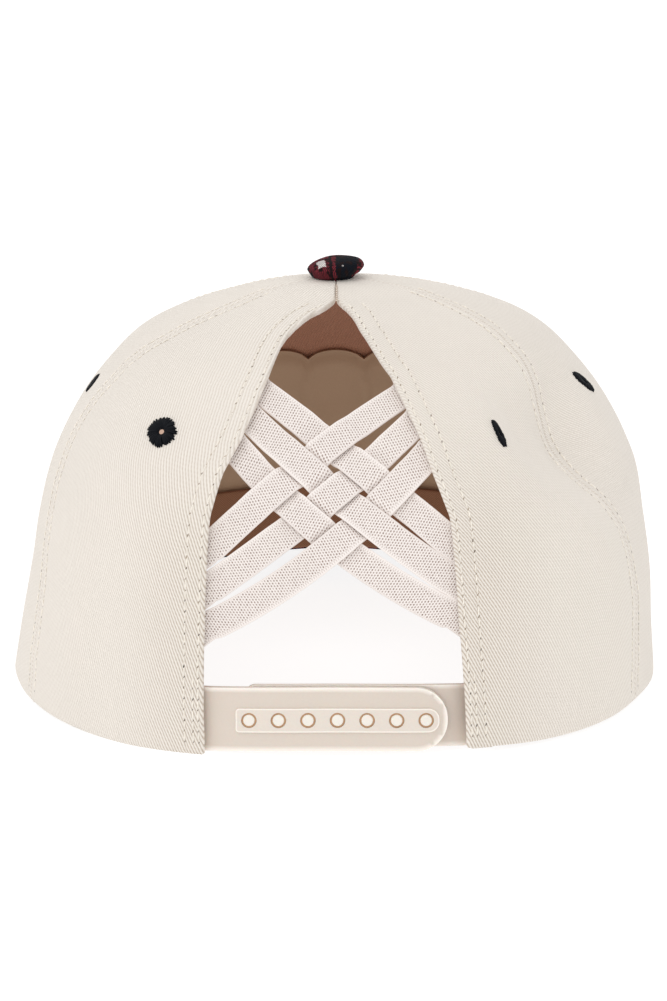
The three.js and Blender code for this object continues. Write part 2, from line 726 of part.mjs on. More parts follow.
const domeProfile = steps(BUTTON.domeSteps).map((share) => {
  const angle = (share * Math.PI) / 2;
  return new THREE.Vector2(BUTTON.radius * Math.cos(angle), BUTTON.rise * Math.sin(angle));
});
domeProfile[BUTTON.domeSteps].x = 0;
const buttonProfile = [
  new THREE.Vector2(0, -BUTTON.stemLength),
  new THREE.Vector2(BUTTON.stem, -BUTTON.stemLength),
  new THREE.Vector2(BUTTON.stem, BUTTON.stemTop),
  ...BUTTON_UNDER.map(([radius, height]) => new THREE.Vector2(radius, height)),
  ...domeProfile,
];
const button = add('button', new THREE.LatheGeometry(buttonProfile, BUTTON.sides), CHECK);
button.geometry.rotateX(Math.PI / 2);
button.rotation.y = -radians(BUTTON.lean);
button.position.set(BUTTON.aside, 0, heightAt(TOP_LEVEL) + BUTTON.seat);

// Visor: from the front rim out to a curved edge whose sides touch the surface below

// The visor's outer edge, for a share from -1 on the right to 1 on the left.
function visorEdge(share) {
  const angle = Math.abs(share) * Math.PI / 2;
  const corner = formPoint(180 - VISOR.half, 0);
  const across = corner.x * Math.sin(angle) ** VISOR.sideCurve + VISOR.flare * Math.sin(2 * angle);
  const y = corner.y + (VISOR.reach - corner.y) * Math.abs(Math.cos(angle)) ** VISOR.frontCurve;
  const fall = 1 - Math.min(across / VISOR.rests, 1) ** 2;
  return new THREE.Vector3(-Math.sign(share) * across, y, VISOR.middle * fall);
}

const visorUnder = (azimuth) => rimLift(azimuth) - VISOR.gap - VISOR.thickness;
const visorShares = steps(VISOR.columns, -1, 1).map((share) => Math.sin((share * Math.PI) / 2));
add('visor', gridShell(steps(VISOR.rows), visorShares, (out, share, isUnder) => {
  const azimuth = 180 + share * VISOR.half;
  const inner = clothPoint(azimuth, 0, VISOR.inset);
  inner.z = visorUnder(azimuth);
  const outer = visorEdge(share * VISOR.end);
  const point = inner.lerp(outer, out);
  point.z = Math.max(point.z, 0) + (isUnder ? 0 : VISOR.thickness);
  return point;
}), CHECK);

export default group;
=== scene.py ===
# %% [markdown]
# A five-panel cap, seen from behind. Its back is cut open, laced with six woven elastic
# straps, and closed below with a plastic snap strap.
# Each piece is modelled as it is sewn: cut flat, laid on the form of the crown, turned in
# at its edges and stitched. All sizes are in millimetres until a piece is laid.

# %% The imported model
import math

import bpy
import numpy as np
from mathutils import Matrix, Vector


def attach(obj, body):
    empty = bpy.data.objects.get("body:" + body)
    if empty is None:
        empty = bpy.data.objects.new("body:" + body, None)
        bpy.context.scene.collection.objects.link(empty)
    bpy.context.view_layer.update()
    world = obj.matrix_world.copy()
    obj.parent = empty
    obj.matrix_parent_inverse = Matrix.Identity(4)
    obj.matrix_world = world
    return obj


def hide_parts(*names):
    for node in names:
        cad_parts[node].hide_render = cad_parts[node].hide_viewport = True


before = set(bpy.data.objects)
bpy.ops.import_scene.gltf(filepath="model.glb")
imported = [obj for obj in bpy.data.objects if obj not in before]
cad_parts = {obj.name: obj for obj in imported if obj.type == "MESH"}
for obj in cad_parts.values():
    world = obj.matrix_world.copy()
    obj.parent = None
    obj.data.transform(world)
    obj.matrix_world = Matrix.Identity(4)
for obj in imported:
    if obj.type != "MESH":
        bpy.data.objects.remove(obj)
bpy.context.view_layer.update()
MM = 0.001

# %% [markdown]
# The camera stands behind the cap, a little above it, with a long lens, as in a studio
# picture of a product. A long lens keeps the round crown from bulging towards the viewer.

# %% The camera
PHOTO_HEIGHT = 1001  # pixels
CAMERA_RISE = 13  # degrees above level
CAMERA_DISTANCE = 1.3
CAMERA_AIM = Vector((0, 0, 0.055))
SENSOR = 36
FOCAL_PIXELS = 4680
SHIFT_RIGHT = 2.5  # pixels that the cap lies right of the middle
SHIFT_UP = 29.5  # pixels that it lies above the middle


def add_camera():
    rise = math.radians(CAMERA_RISE)
    place = CAMERA_AIM + CAMERA_DISTANCE * Vector((0, -math.cos(rise), math.sin(rise)))
    bpy.ops.object.camera_add(location=place, rotation=(math.pi / 2 - rise, 0, 0))
    camera = bpy.context.object
    camera.data.sensor_width = SENSOR
    camera.data.lens = SENSOR * FOCAL_PIXELS / PHOTO_HEIGHT
    camera.data.shift_x = -SHIFT_RIGHT / PHOTO_HEIGHT
    camera.data.shift_y = -SHIFT_UP / PHOTO_HEIGHT
    bpy.context.scene.camera = camera
    return camera


camera = add_camera()
print("lens", round(camera.data.lens, 1), "mm at", [round(v, 3) for v in camera.location])

# %% [markdown]
# The crown's form is a stack of rounded sections. Each row says how far the cloth reaches
# to each side at one height, and how square the section is. A smooth curve runs between
# the rows, so the form has no steps. A "level" is a row number that may be a fraction.

# %% The form of the crown
CROWN_COLUMNS = ("height", "left", "right", "back", "front", "square")
CROWN_ROWS = (
    (0, 89.5, 88.5, 97, 97, 2.35),
    (14, 87.3, 87.6, 96.3, 96.5, 2.4),
    (30, 84.5, 87, 94.3, 95, 2.4),
    (46, 82, 85, 91, 93, 2.4),
    (60, 78.3, 82.3, 86, 90, 2.4),
    (73, 72.2, 76, 78, 84.5, 2.4),
    (84, 64.2, 68.6, 68, 76, 2.3),
    (93, 55.3, 60, 55.5, 63, 2.3),
    (100, 42.5, 49.3, 42, 45.5, 2.2),
    (105, 28.8, 34.6, 29, 29, 2.1),
    (108.5, 16.3, 19.2, 16, 13.5, 2.1),
    (110, 3, 3.5, 3, 3.5, 2),
)
CROWN = dict(zip(CROWN_COLUMNS, np.array(CROWN_ROWS, float).T))
TOP_LEVEL = len(CROWN_ROWS) - 1

RIM_TURNED = np.array((0, 18, 35, 50, 65, 95, 125, 155, 180), float)  # degrees from the back
RIM_RISE = {  # rim above the floor there
    "left": np.array((0, 0, 0, 1, 2, 2, 5, 10.5, 13.5), float),
    "right": np.array((0, 1.8, 1.1, 1.5, 2.4, 2, 5, 10.5, 13.5), float),
}
LIFT_FADE = 70  # height at which the rise has faded out


def between(column, place):
    """A column's value between its rows, on a Catmull-Rom curve."""
    last = len(column) - 1
    place = np.clip(np.asarray(place, float), 0, last)
    row = np.minimum(place.astype(int), last - 1)
    t = place - row
    ends = (2 * column[0] - column[1], 2 * column[-1] - column[-2])
    longer = np.concatenate(([ends[0]], column, [ends[1]]))
    before, start, end, after = (longer[row + k] for k in range(4))
    slope_in = (end - before) / 2
    slope_out = (after - start) / 2
    rising = (2 * t**3 - 3 * t**2 + 1) * start + (t**3 - 2 * t**2 + t) * slope_in
    return rising + (3 * t**2 - 2 * t**3) * end + (t**3 - t**2) * slope_out


def smooth(value):
    value = np.clip(value, 0, 1)
    return value * value * (3 - 2 * value)


FINE_LEVELS = np.linspace(0, TOP_LEVEL, 2201)
FINE_HEIGHTS = between(CROWN["height"], FINE_LEVELS)
FINE_TURNS = np.linspace(0, len(RIM_TURNED) - 1, 601)


def level_at(height):
    return np.interp(height, FINE_HEIGHTS, FINE_LEVELS)


def rim_rise(azimuth):
    signed = (np.asarray(azimuth, float) + 540) % 360 - 180
    turned = between(RIM_TURNED, FINE_TURNS)
    left, right = (
        np.interp(np.abs(signed), turned, between(RIM_RISE[side], FINE_TURNS)) for side in ("left", "right")
    )
    return np.where(signed < 0, left, right)


def form_point(azimuth, level):
    """Points of the plain form. Azimuth 0 is the back, 90 the right, 180 the front."""
    turn = np.radians(azimuth)
    sine, cosine = np.sin(turn), np.cos(turn)
    side = np.where(sine < 0, between(CROWN["left"], level), between(CROWN["right"], level))
    end = np.where(cosine > 0, between(CROWN["back"], level), between(CROWN["front"], level))
    square = between(CROWN["square"], level)
    reach = (np.abs(sine / side) ** square + np.abs(cosine / end) ** square) ** (-1 / square)
    height = between(CROWN["height"], level)
    lift = rim_rise(azimuth) * (1 - smooth(height / LIFT_FADE))
    return np.stack([reach * sine, -reach * cosine, height + lift], axis=-1)


def unit(vectors):
    return vectors / np.linalg.norm(vectors, axis=-1, keepdims=True)


def form_normal(azimuth, level):
    step = 0.02
    along = form_point(azimuth + 1, level) - form_point(azimuth - 1, level)
    high = form_point(azimuth, np.minimum(level + step, TOP_LEVEL))
    low = form_point(azimuth, np.maximum(level - step, 0))
    return unit(np.cross(along, high - low))


PROFILE_LEVELS = np.linspace(0, TOP_LEVEL, 221)
PROFILE = form_point(0, PROFILE_LEVELS)
PROFILE_LENGTHS = np.concatenate(([0], np.cumsum(np.linalg.norm(np.diff(PROFILE, axis=0), axis=1))))


def slope_length(level):
    return np.interp(level, PROFILE_LEVELS, PROFILE_LENGTHS)


def level_up(slope):
    return np.interp(slope, PROFILE_LENGTHS, PROFILE_LEVELS)


print("the back measures", round(PROFILE_LENGTHS[-1], 1), "mm from the rim to the button")

# %% [markdown]
# Cloth is never as even as its form. Five soft dents and swellings stand where the cap has
# been handled, and slow low waves run over all of it. They are sums of round bumps and of
# sine waves, so that neighbouring panels meet in the same place.

# %% The surface of the cloth
DENTS = (  # azimuth, height, spread across, spread along the slope, outwards
    (57, 76, 12, 15, -11),
    (43, 79, 5, 12, -3),
    (47, 48, 14, 12, 2),
    (-42, 62, 20, 18, 1.5),
    (-39, 22, 7, 12, -1.2),
)
CROWN_RADIUS = 90  # at which the waves have their full height
SLOW_WAVE = 0.2
QUICK_WAVE = 0.1


def dent_out(azimuth, level):
    point = form_point(azimuth, level)
    radius = np.hypot(point[..., 0], point[..., 1])
    out = np.zeros(np.shape(radius))
    for at, height, spread_across, spread_along, depth in DENTS:
        turn = (azimuth - at + 540) % 360 - 180
        across = np.radians(turn) * radius / spread_across
        along = (slope_length(level) - slope_length(level_at(height))) / spread_along
        out = out + depth * np.exp(-0.5 * (across**2 + along**2))
    return out


def wave_out(azimuth, level):
    turn = np.radians(azimuth)
    slope = slope_length(level)
    point = form_point(azimuth, level)
    full = np.minimum(np.hypot(point[..., 0], point[..., 1]) / CROWN_RADIUS, 1)
    slow = SLOW_WAVE * np.sin(6 * turn + 1.9 * np.sin(slope / 23)) * np.sin(slope / 19 + 0.6)
    quick = QUICK_WAVE * np.sin(17 * turn + slope / 9 + 0.9 * np.sin(4 * turn))
    return full * (slow + quick)


def cloth_point(azimuth, level, depth):
    """Points under the cloth's outer face, at a depth. At the rim the depth is level."""
    azimuth, level, depth = np.broadcast_arrays(azimuth, level, depth)
    normal = form_normal(azimuth, level)
    flat = np.array([1, 1, 0]) * normal
    normal = np.where(level[..., None] <= 0, unit(flat), normal)
    out = dent_out(azimuth, level) + wave_out(azimuth, level) - depth
    return form_point(azimuth, level) + normal * out[..., None]


def degrees_for(length, azimuth, level):
    """Degrees round the crown that span a length there."""
    point = form_point(azimuth, level)
    return np.degrees(length / np.hypot(point[..., 0], point[..., 1]))


print("deepest dent", round(float(dent_out(55, level_at(76))), 1), "mm")

# %% [markdown]
# The seams and the hemmed edges of the opening are angles that change with height.

# %% Seams and the opening
SEAM_HEIGHTS = (0, 30, 50, 65, 80, 90, 98, 105, 110)
SEAM_LEFT = (61, 62.5, 65, 68, 71, 70, 67, 66, 70)
SEAM_RIGHT = (59.5, 60.5, 59.5, 57.5, 57.5, 58.5, 60.5, 66, 72)
FRONT_SEAM = 127
OPENING_ROWS = (  # height, left angle, right angle
    (0, 20.5, 20.4), (35, 21.2, 19.75), (50, 21.7, 19.8), (62, 22.2, 20), (72, 21.5, 18.5),
    (80, 19.8, 17.75), (88, 18.9, 16.3), (94, 18.7, 15.1), (97, 19.2, 13.5), (99.5, 19.5, 12.3),
    (101.3, 19.2, 11.4), (103, 17.8, 10.1), (104.3, 15.8, 9.3), (105.4, 13.2, 8), (106.5, 7.2, 5.6),
    (107.8, 0, 0),
)
OPENING_HEIGHTS, OPENING_LEFT, OPENING_RIGHT = np.array(OPENING_ROWS).T
EDGES = (  # heights, angles there, and the side
    (SEAM_HEIGHTS, SEAM_LEFT, -1),
    (SEAM_HEIGHTS, SEAM_RIGHT, 1),
    (OPENING_HEIGHTS, OPENING_LEFT, -1),
    (OPENING_HEIGHTS, OPENING_RIGHT, 1),
)


def edge_angle(heights, angles, side):
    """A function that gives an edge's angle at a level."""
    return lambda level: side * np.interp(between(CROWN["height"], level), heights, angles)


def constant(angle):
    return lambda level: np.full(np.shape(level), float(angle))


left_seam, right_seam, left_opening, right_opening = (edge_angle(*edge) for edge in EDGES)


def edge_x(edge_of, height):
    """How far from the middle the opening's edge lies at a height."""
    level = level_at(height)
    return form_point(edge_of(level), level)[..., 0]


opening_width = edge_x(right_opening, 50) - edge_x(left_opening, 50)
print("the opening is", round(float(opening_width)), "mm wide at 50 mm")

# %% [markdown]
# Materials are built from nodes. A value in a node tree is wrapped here so that plain sums
# can be written with it, and each sum adds the node that does it. A node group is an effect
# that several materials share, each with values of its own.

# %% Helpers for nodes
def srgb(red, green, blue):
    """A colour read off a screen, 0 to 255, as the linear values that shaders use."""
    shares = [value / 255 for value in (red, green, blue)]
    linear = [s / 12.92 if s <= 0.04045 else ((s + 0.055) / 1.055) ** 2.4 for s in shares]
    return (*linear, 1)


def feed(socket, value):
    if isinstance(value, Value):
        value.tree.links.new(value.socket, socket)
    else:
        socket.default_value = value


def put(tree, kind, inputs=(), output=0, **settings):
    """Adds a node with its settings, and its inputs by name or number. Gives an output."""
    node = tree.nodes.new(kind)
    for name, value in settings.items():
        setattr(node, name, value)
    for name, value in dict(inputs).items():
        feed(node.inputs[name], value)
    return Value(node.outputs[output])


class Value:
    """A value in a node tree. Plain arithmetic with it adds math nodes."""

    def __init__(self, socket):
        self.socket = socket
        self.tree = socket.id_data

    def calc(self, operation, *others):
        return put(self.tree, "ShaderNodeMath", enumerate((self, *others)), operation=operation)

    def __add__(self, other):
        return self.calc("ADD", other)

    def __sub__(self, other):
        return self.calc("SUBTRACT", other)

    def __rsub__(self, other):
        return put(self.tree, "ShaderNodeMath", {0: other, 1: self}, operation="SUBTRACT")

    def __mul__(self, other):
        return self.calc("MULTIPLY", other)

    def __truediv__(self, other):
        return self.calc("DIVIDE", other)

    def __pow__(self, other):
        return self.calc("POWER", other)


def blend(share, first, second):
    """A colour between two colours. They are inputs 6 and 7 of the mix node, and output 2."""
    return put(share.tree, "ShaderNodeMix", {0: share, 6: first, 7: second}, 2, data_type="RGBA")


def ramp(value, low, high):
    """Rises smoothly from 0 to 1 as a value goes from low to high."""
    inputs = {0: value, 1: low, 2: high}
    return put(value.tree, "ShaderNodeMapRange", inputs, interpolation_type="SMOOTHSTEP")


def wave(turns):
    """A wave between 0 and 1, one for each turn."""
    return (turns * math.tau).calc("COSINE") * 0.5 + 0.5


def noise(place, scale, detail=1):
    return put(place.tree, "ShaderNodeTexNoise", {"Vector": place, "Scale": scale, "Detail": detail})


def split(place):
    """The three numbers of a place."""
    parts = put(place.tree, "ShaderNodeSeparateXYZ", {0: place}).socket.node.outputs
    return [Value(part) for part in parts]


def object_place(tree):
    return put(tree, "ShaderNodeTexCoord", output="Object")


def flat_place(tree):
    return put(tree, "ShaderNodeUVMap", uv_map=FLAT_MAP)


def new_group(name, inputs, outputs):
    """Starts a node group. Gives its tree, its input values and its output sockets."""
    tree = bpy.data.node_groups.new(name, "ShaderNodeTree")
    for label, kind, value in inputs:
        socket = tree.interface.new_socket(label, in_out="INPUT", socket_type=kind)
        if value is not None:
            socket.default_value = value
    for label, kind in outputs:
        tree.interface.new_socket(label, in_out="OUTPUT", socket_type=kind)
    given = tree.nodes.new("NodeGroupInput").outputs
    wanted = tree.nodes.new("NodeGroupOutput").inputs
    return tree, {label: Value(given[label]) for label, *_ in inputs}, wanted


def use(tree, group, inputs):
    """Places a node group in a material, and gives its outputs by name."""
    node = tree.nodes.new("ShaderNodeGroup")
    node.node_tree = group
    for name, value in inputs.items():
        feed(node.inputs[name], value)
    return {socket.name: Value(socket) for socket in node.outputs}


FLOAT = "NodeSocketFloat"
VECTOR = "NodeSocketVector"
COLOUR = "NodeSocketColor"
FLAT_MAP = "UVMap"
print("node helpers ready")

# %% [markdown]
# Twill shows fine slanting ribs, 0.77 mm apart here. The ribs follow the cloth as it was
# cut, so the pattern reads the piece's own flat map, which is measured in real lengths.
# Each rib is made of short floats of yarn, set off from one rib to the next.

# %% The twill group
RIB_PITCH = 0.00077
RIB_TURN = math.radians(20)  # the ribs lean this far to the left of straight up
RIB_WAVER = 0.5  # how far a rib wanders, in pitches
YARNS_PER_PITCH = 0.55
YARN_STEP = 0.38  # how far the yarns of the next rib are set off


def make_twill():
    inputs = (("Place", VECTOR, None), ("Pitch", FLOAT, RIB_PITCH), ("Turn", FLOAT, RIB_TURN))
    tree, given, wanted = new_group("twill", inputs, (("Rib", FLOAT), ("Yarn", FLOAT)))
    turn = {"Vector": given["Place"], "Angle": given["Turn"] * -1}
    turned = put(tree, "ShaderNodeVectorRotate", turn, rotation_type="Z_AXIS")
    across, along = (part / given["Pitch"] for part in split(turned)[:2])
    across = across + (noise(turned, 260) - 0.5) * RIB_WAVER
    feed(wanted["Rib"], wave(across))
    feed(wanted["Yarn"], wave(along * YARNS_PER_PITCH + across.calc("FLOOR") * YARN_STEP))
    return tree


twill = make_twill()
print(twill.name, "has", len(twill.nodes), "nodes")

# %% [markdown]
# No cloth or plastic is the same tone all over. This group shades a colour a little by slow
# and quick noise on the object's own coordinates, for every material of the cap.

# %% The uneven tone group
FINE_NOISE = 1800


def make_uneven():
    inputs = (("Color", COLOUR, None), ("Scale", FLOAT, 30), ("Amount", FLOAT, 0.06))
    tree, given, wanted = new_group("uneven_tone", inputs, (("Color", COLOUR),))
    place = object_place(tree)
    both = noise(place, given["Scale"], 3) + noise(place, FINE_NOISE)
    shade = {"Value": (both - 1) * given["Amount"] + 1, "Color": given["Color"]}
    feed(wanted["Color"], put(tree, "ShaderNodeHueSaturation", shade))
    return tree


uneven = make_uneven()
print(uneven.name, "has", len(uneven.nodes), "nodes")

# %% [markdown]
# Plain weave is a small check of warp and weft that pass over and under each other. The
# lining and the sweatband use it at different sizes.

# %% The plain weave group
def make_weave():
    inputs = (("Place", VECTOR, None), ("Pitch", FLOAT, 0.0005))
    tree, given, wanted = new_group("plain_weave", inputs, (("Height", FLOAT),))
    warp, weft = ((part / given["Pitch"] * math.tau).calc("SINE") for part in split(given["Place"])[:2])
    feed(wanted["Height"], warp * weft * 0.5 + 0.5)
    return tree


weave = make_weave()
print(weave.name, "has", len(weave.nodes), "nodes")

# %% [markdown]
# Every material starts from the Principled shader. What is the same all over, such as
# sheen, is set on the shader itself, and what changes comes from the groups. All of them
# are finished in the same way, with an uneven tone and a fine relief.

# %% The cloth materials
# The twills' low tones are painted shade in the grooves between the ribs.
CREAM_HIGH = srgb(237, 230, 221)
CREAM_PAINTED_GROOVE_SHADE = srgb(188, 173, 156)
RIB_LEAST = 0.55  # share of the ribs' shade that they have everywhere
RIB_MORE = 0.65
HEM_NEAR, HEM_FAR = 0.036, 0.062  # between these distances from the middle it fades out
HEM_LOW, HEM_HIGH = 0.045, 0.09  # and between these heights
INSIDE_HIGH = srgb(158, 112, 88)
INSIDE_PAINTED_GROOVE_SHADE = srgb(140, 97, 76)
# The low tones of the lining and the band are painted shade where the weave dips.
LINING_TONE = srgb(174, 147, 120)
LINING_PAINTED_HOLLOW_SHADE = srgb(158, 132, 107)
BAND_TONE = srgb(142, 98, 68)
BAND_PAINTED_HOLLOW_SHADE = srgb(110, 74, 50)


def new_material(name, roughness, sheen=0.0, gloss=0.5):
    material = bpy.data.materials.new(name)
    material.use_nodes = True
    shader = material.node_tree.nodes["Principled BSDF"].inputs
    shader["Roughness"].default_value = roughness
    shader["Sheen Weight"].default_value = sheen
    shader["Specular IOR Level"].default_value = gloss
    return material, material.node_tree, shader


def finish_material(material, colour, scale, amount, height, distance):
    """Makes a colour uneven by an amount, and adds relief from a height."""
    tree = material.node_tree
    shader = tree.nodes["Principled BSDF"].inputs
    tone = use(tree, uneven, {"Color": colour, "Scale": scale, "Amount": amount})
    feed(shader["Base Color"], tone["Color"])
    feed(shader["Normal"], put(tree, "ShaderNodeBump", {"Height": height, "Distance": distance}))
    return material


def painted_rib_shade_strength(tree):
    """The painted shade in the ribs' grooves is stronger near the opening's low edges."""
    across, _, height = split(object_place(tree))
    near_hem = 1 - ramp(across.calc("ABSOLUTE"), HEM_NEAR, HEM_FAR)
    low = 1 - ramp(height, HEM_LOW, HEM_HIGH)
    return near_hem * low * RIB_MORE + RIB_LEAST


def twill_cloth(name, high, low, sheen):
    material, tree, _ = new_material(name, 0.92, sheen)
    cloth = use(tree, twill, {"Place": flat_place(tree)})
    # Painted shade: the grooves between the ribs take the low colour.
    depth = (1 - cloth["Rib"]) ** 1.6 * 0.85 - cloth["Yarn"] * 0.15
    depth = depth.calc("MAXIMUM", 0) * painted_rib_shade_strength(tree)
    height = cloth["Rib"] + cloth["Yarn"] * 0.2
    return finish_material(material, blend(depth, high, low), 22, 0.05, height, 0.00013)


def woven_cloth(name, high, low, pitch, roughness):
    material, tree, _ = new_material(name, roughness, 0.1)
    height = use(tree, weave, {"Place": flat_place(tree), "Pitch": pitch})["Height"]
    # Painted shade: the colour is darker where the weave dips.
    return finish_material(material, blend(height, low, high), 40, 0.08, height, 0.00005)


cream = twill_cloth("cream_twill", CREAM_HIGH, CREAM_PAINTED_GROOVE_SHADE, 0.15)
inside = twill_cloth("inside_of_twill", INSIDE_HIGH, INSIDE_PAINTED_GROOVE_SHADE, 0.05)
taupe = woven_cloth("taupe_lining", LINING_TONE, LINING_PAINTED_HOLLOW_SHADE, 0.0005, 0.9)
brown = woven_cloth("brown_band", BAND_TONE, BAND_PAINTED_HOLLOW_SHADE, 0.0007, 0.85)
print("cloths:", cream.name, inside.name, taupe.name, brown.name)

# %% [markdown]
# The elastic is a knitted braid. Staggered columns of small soft dents run across it, one
# edge is faintly ribbed like a comb, and the other ends in a thin smooth line. The dents
# and the comb's ribs are painted darker, a painted shade in their hollows, and the smooth
# line a little darker too. Its flat map runs along the strap and then across it, with 0 in
# the middle, so the dents follow its bow. Slow noise makes the painted shade of some dents
# fainter.

# %% The elastic
DOT_COLUMN = 0.00066  # from column to column along the strap
DOT_PITCH = 0.00083  # from dent to dent across it
DOT_LENGTH = 0.00034  # along the strap
DOT_WIDTH = 0.00054  # across it
COMB_FROM = 0.0029  # distance from the strap's middle at which the ribs start
COMB_TO = 0.0037
COMB_SHADE = 0.34
SELVEDGE_FROM = 0.0037
SELVEDGE_SHADE = 0.12
ELASTIC_HIGH = srgb(241, 233, 228)
ELASTIC_PAINTED_SHADE = srgb(150, 124, 112)


def make_elastic():
    material, tree, _ = new_material("pale_elastic", 0.85, 0.1)
    place = flat_place(tree)
    along, across, _ = split(place)
    column = along / DOT_COLUMN
    row = across / DOT_PITCH + column.calc("FLOOR") * 0.5
    down = (row.calc("FRACT") - 0.5) * (2 * DOT_PITCH / DOT_WIDTH)
    over = (column.calc("FRACT") - 0.5) * (2 * DOT_COLUMN / DOT_LENGTH)
    hole = 1 - ramp((down**2 + over**2).calc("SQRT"), 0.3, 1.6)
    hole = hole * (noise(place, 1100) * 1.2 + 0.25)
    in_comb = ramp(across, COMB_FROM - 0.00025, COMB_FROM + 0.00025)
    past_comb = ramp(across, COMB_TO - 0.0002, COMB_TO + 0.0001)
    in_selvedge = ramp(across * -1, SELVEDGE_FROM - 0.0003, SELVEDGE_FROM + 0.0001)
    comb = ramp(wave(column), 0.4, 0.95) * (in_comb - past_comb)
    dents = hole * (1 - in_comb - in_selvedge)
    # Painted shade: the dents and the comb's ribs are darker, and the smooth line a little.
    dark = dents + comb * COMB_SHADE + in_selvedge * SELVEDGE_SHADE
    return finish_material(material, blend(dark, ELASTIC_HIGH, ELASTIC_PAINTED_SHADE), 60, 0.05, 1 - dark, 0.00016)


elastic = make_elastic()
print(elastic.name, "has dents", DOT_PITCH / MM, "mm apart")

# %% [markdown]
# The closure is moulded plastic, satin rather than glossy, with a faint grain left by the
# mould. Its raised rims and its pegs are painted lighter, a painted highlight, so the piece
# carries an attribute that says how far a point stands up, and the colour follows it. The
# embroidery thread is dark and silky, and the sewing thread is cream. Needle holes are
# dashes of painted shade, darker towards the bottom and fainter higher up.

# %% Plastic and threads
HIGHLIGHT_ATTRIBUTE = "raised"
PLASTIC_LOW = srgb(214, 202, 190)
PLASTIC_PAINTED_HIGHLIGHT = srgb(250, 243, 234)
# The pegs get this share of the painted highlight.
PEG_PAINTED_HIGHLIGHT = 0.6  # how light the pegs are, between the two tones
HOLE_PAINTED_SHADE_HIGH = (srgb(190, 174, 156), srgb(122, 106, 90))  # the lightest and the darkest
HOLE_PAINTED_SHADE_LOW = (srgb(148, 134, 118), srgb(56, 48, 40))


def make_plastic():
    material, tree, shader = new_material("beige_plastic", 0.42)
    shader["Subsurface Weight"].default_value = 0.08
    shader["Subsurface Scale"].default_value = 0.002
    # The lighter tone is a painted highlight on the raised rims and, in part, the pegs.
    raised = put(tree, "ShaderNodeAttribute", output="Fac", attribute_name=HIGHLIGHT_ATTRIBUTE)
    grain = noise(object_place(tree), 1400, 2)
    feed(shader["Roughness"], grain * 0.16 + 0.36)
    return finish_material(material, blend(raised, PLASTIC_LOW, PLASTIC_PAINTED_HIGHLIGHT), 50, 0.05, grain, 0.00003)


def make_thread(name, colour, roughness, sheen=0.0, gloss=0.5):
    material, tree, _ = new_material(name, roughness, sheen, gloss)
    return finish_material(material, colour, 300, 0.3, noise(object_place(tree), 5000), 0.00004)


def make_hole_shade():
    material, tree, shader = new_material("needle_hole", 0.95)
    place = object_place(tree)
    # Painted shade: the holes are darker towards the bottom, and lighter or darker at random.
    open_share = ramp(noise(place, 330), 0.35, 0.65)
    low = 1 - ramp(split(place)[2], 0.02, 0.07)
    tones = [blend(open_share, *pair) for pair in (HOLE_PAINTED_SHADE_HIGH, HOLE_PAINTED_SHADE_LOW)]
    feed(shader["Base Color"], blend(low, *tones))
    return material


hole_shade = make_hole_shade()
plastic = make_plastic()
# The brown ring is painted shade for the gap round each peg in its hole.
ring_shade = make_thread("painted_gap_shade", srgb(188, 148, 112), 0.6)
navy_thread = make_thread("navy_thread", srgb(9, 12, 18), 0.6, gloss=0.12)
hole_cloth = make_thread("hole_cloth", srgb(204, 170, 150), 0.9)
cream_thread = make_thread("cream_thread", srgb(238, 231, 220), 0.8, 0.1)
tan_thread = make_thread("tan_thread", srgb(158, 126, 96), 0.8, 0.1)
print("plastic and threads ready")

# %% [markdown]
# The button and the visor are covered in a brushed check. In a woven check each thread has
# one colour all along it, and a twill weave shows now a warp thread and now a weft thread.
# So there are two sets of stripes, and the cloth picks between them as it is woven. Only
# where two white stripes cross is there a white patch.

# %% The check
NAVY = srgb(17, 20, 27)
BURGUNDY = srgb(118, 42, 50)
WHITE = srgb(226, 220, 216)
BLACK_BROWN = srgb(30, 18, 18)
LINE_GREY = srgb(110, 102, 102)
CHECK_RAGGED = 0.0018  # how far brushing moves the borders of the stripes
CHECK_TURN = math.radians(-40)
STRIPE_SOFT = 0.01  # half the width of a white stripe's soft border
# Where each stripe of a set starts, as a share of the repeat, and its colour
WARP_STRIPES = ((0.0, BURGUNDY), (0.44, BLACK_BROWN), (0.5, BURGUNDY), (0.56, NAVY), (1.0, NAVY))
WEFT_STRIPES = ((0.0, NAVY), (0.75, BURGUNDY), (0.97, NAVY))
# Where its white stripe and its thin white line start and end
WARP_WHITES = ((0.206, 0.369), (0.684, 0.715))
WEFT_WHITES = ((0.225, 0.515), (0.165, 0.2))
# Where on the cloth each piece is cut out
BUTTON_CUT = (0.0089, 0.0105, 0)
VISOR_CUT = (0, 0, 0)


def make_stripes(name, stripes, whites):
    inputs = (("Place", FLOAT, 0.0), ("Repeat", FLOAT, 0.016))
    tree, given, wanted = new_group(name, inputs, (("Color", COLOUR), ("White", FLOAT), ("Line", FLOAT)))
    share = (given["Place"] / given["Repeat"]).calc("FRACT")
    band = put(tree, "ShaderNodeValToRGB", {0: share})
    bands = band.socket.node.color_ramp
    bands.interpolation = "CONSTANT"
    for at, _ in stripes[1:-1]:
        bands.elements.new(at)
    for point, (at, colour) in zip(bands.elements, stripes):
        point.position = at
        point.color = colour
    feed(wanted["Color"], band)
    for label, ends in zip(("White", "Line"), whites):
        started, ended = (ramp(share, end - STRIPE_SOFT, end + STRIPE_SOFT) for end in ends)
        feed(wanted[label], started - ended)
    return tree


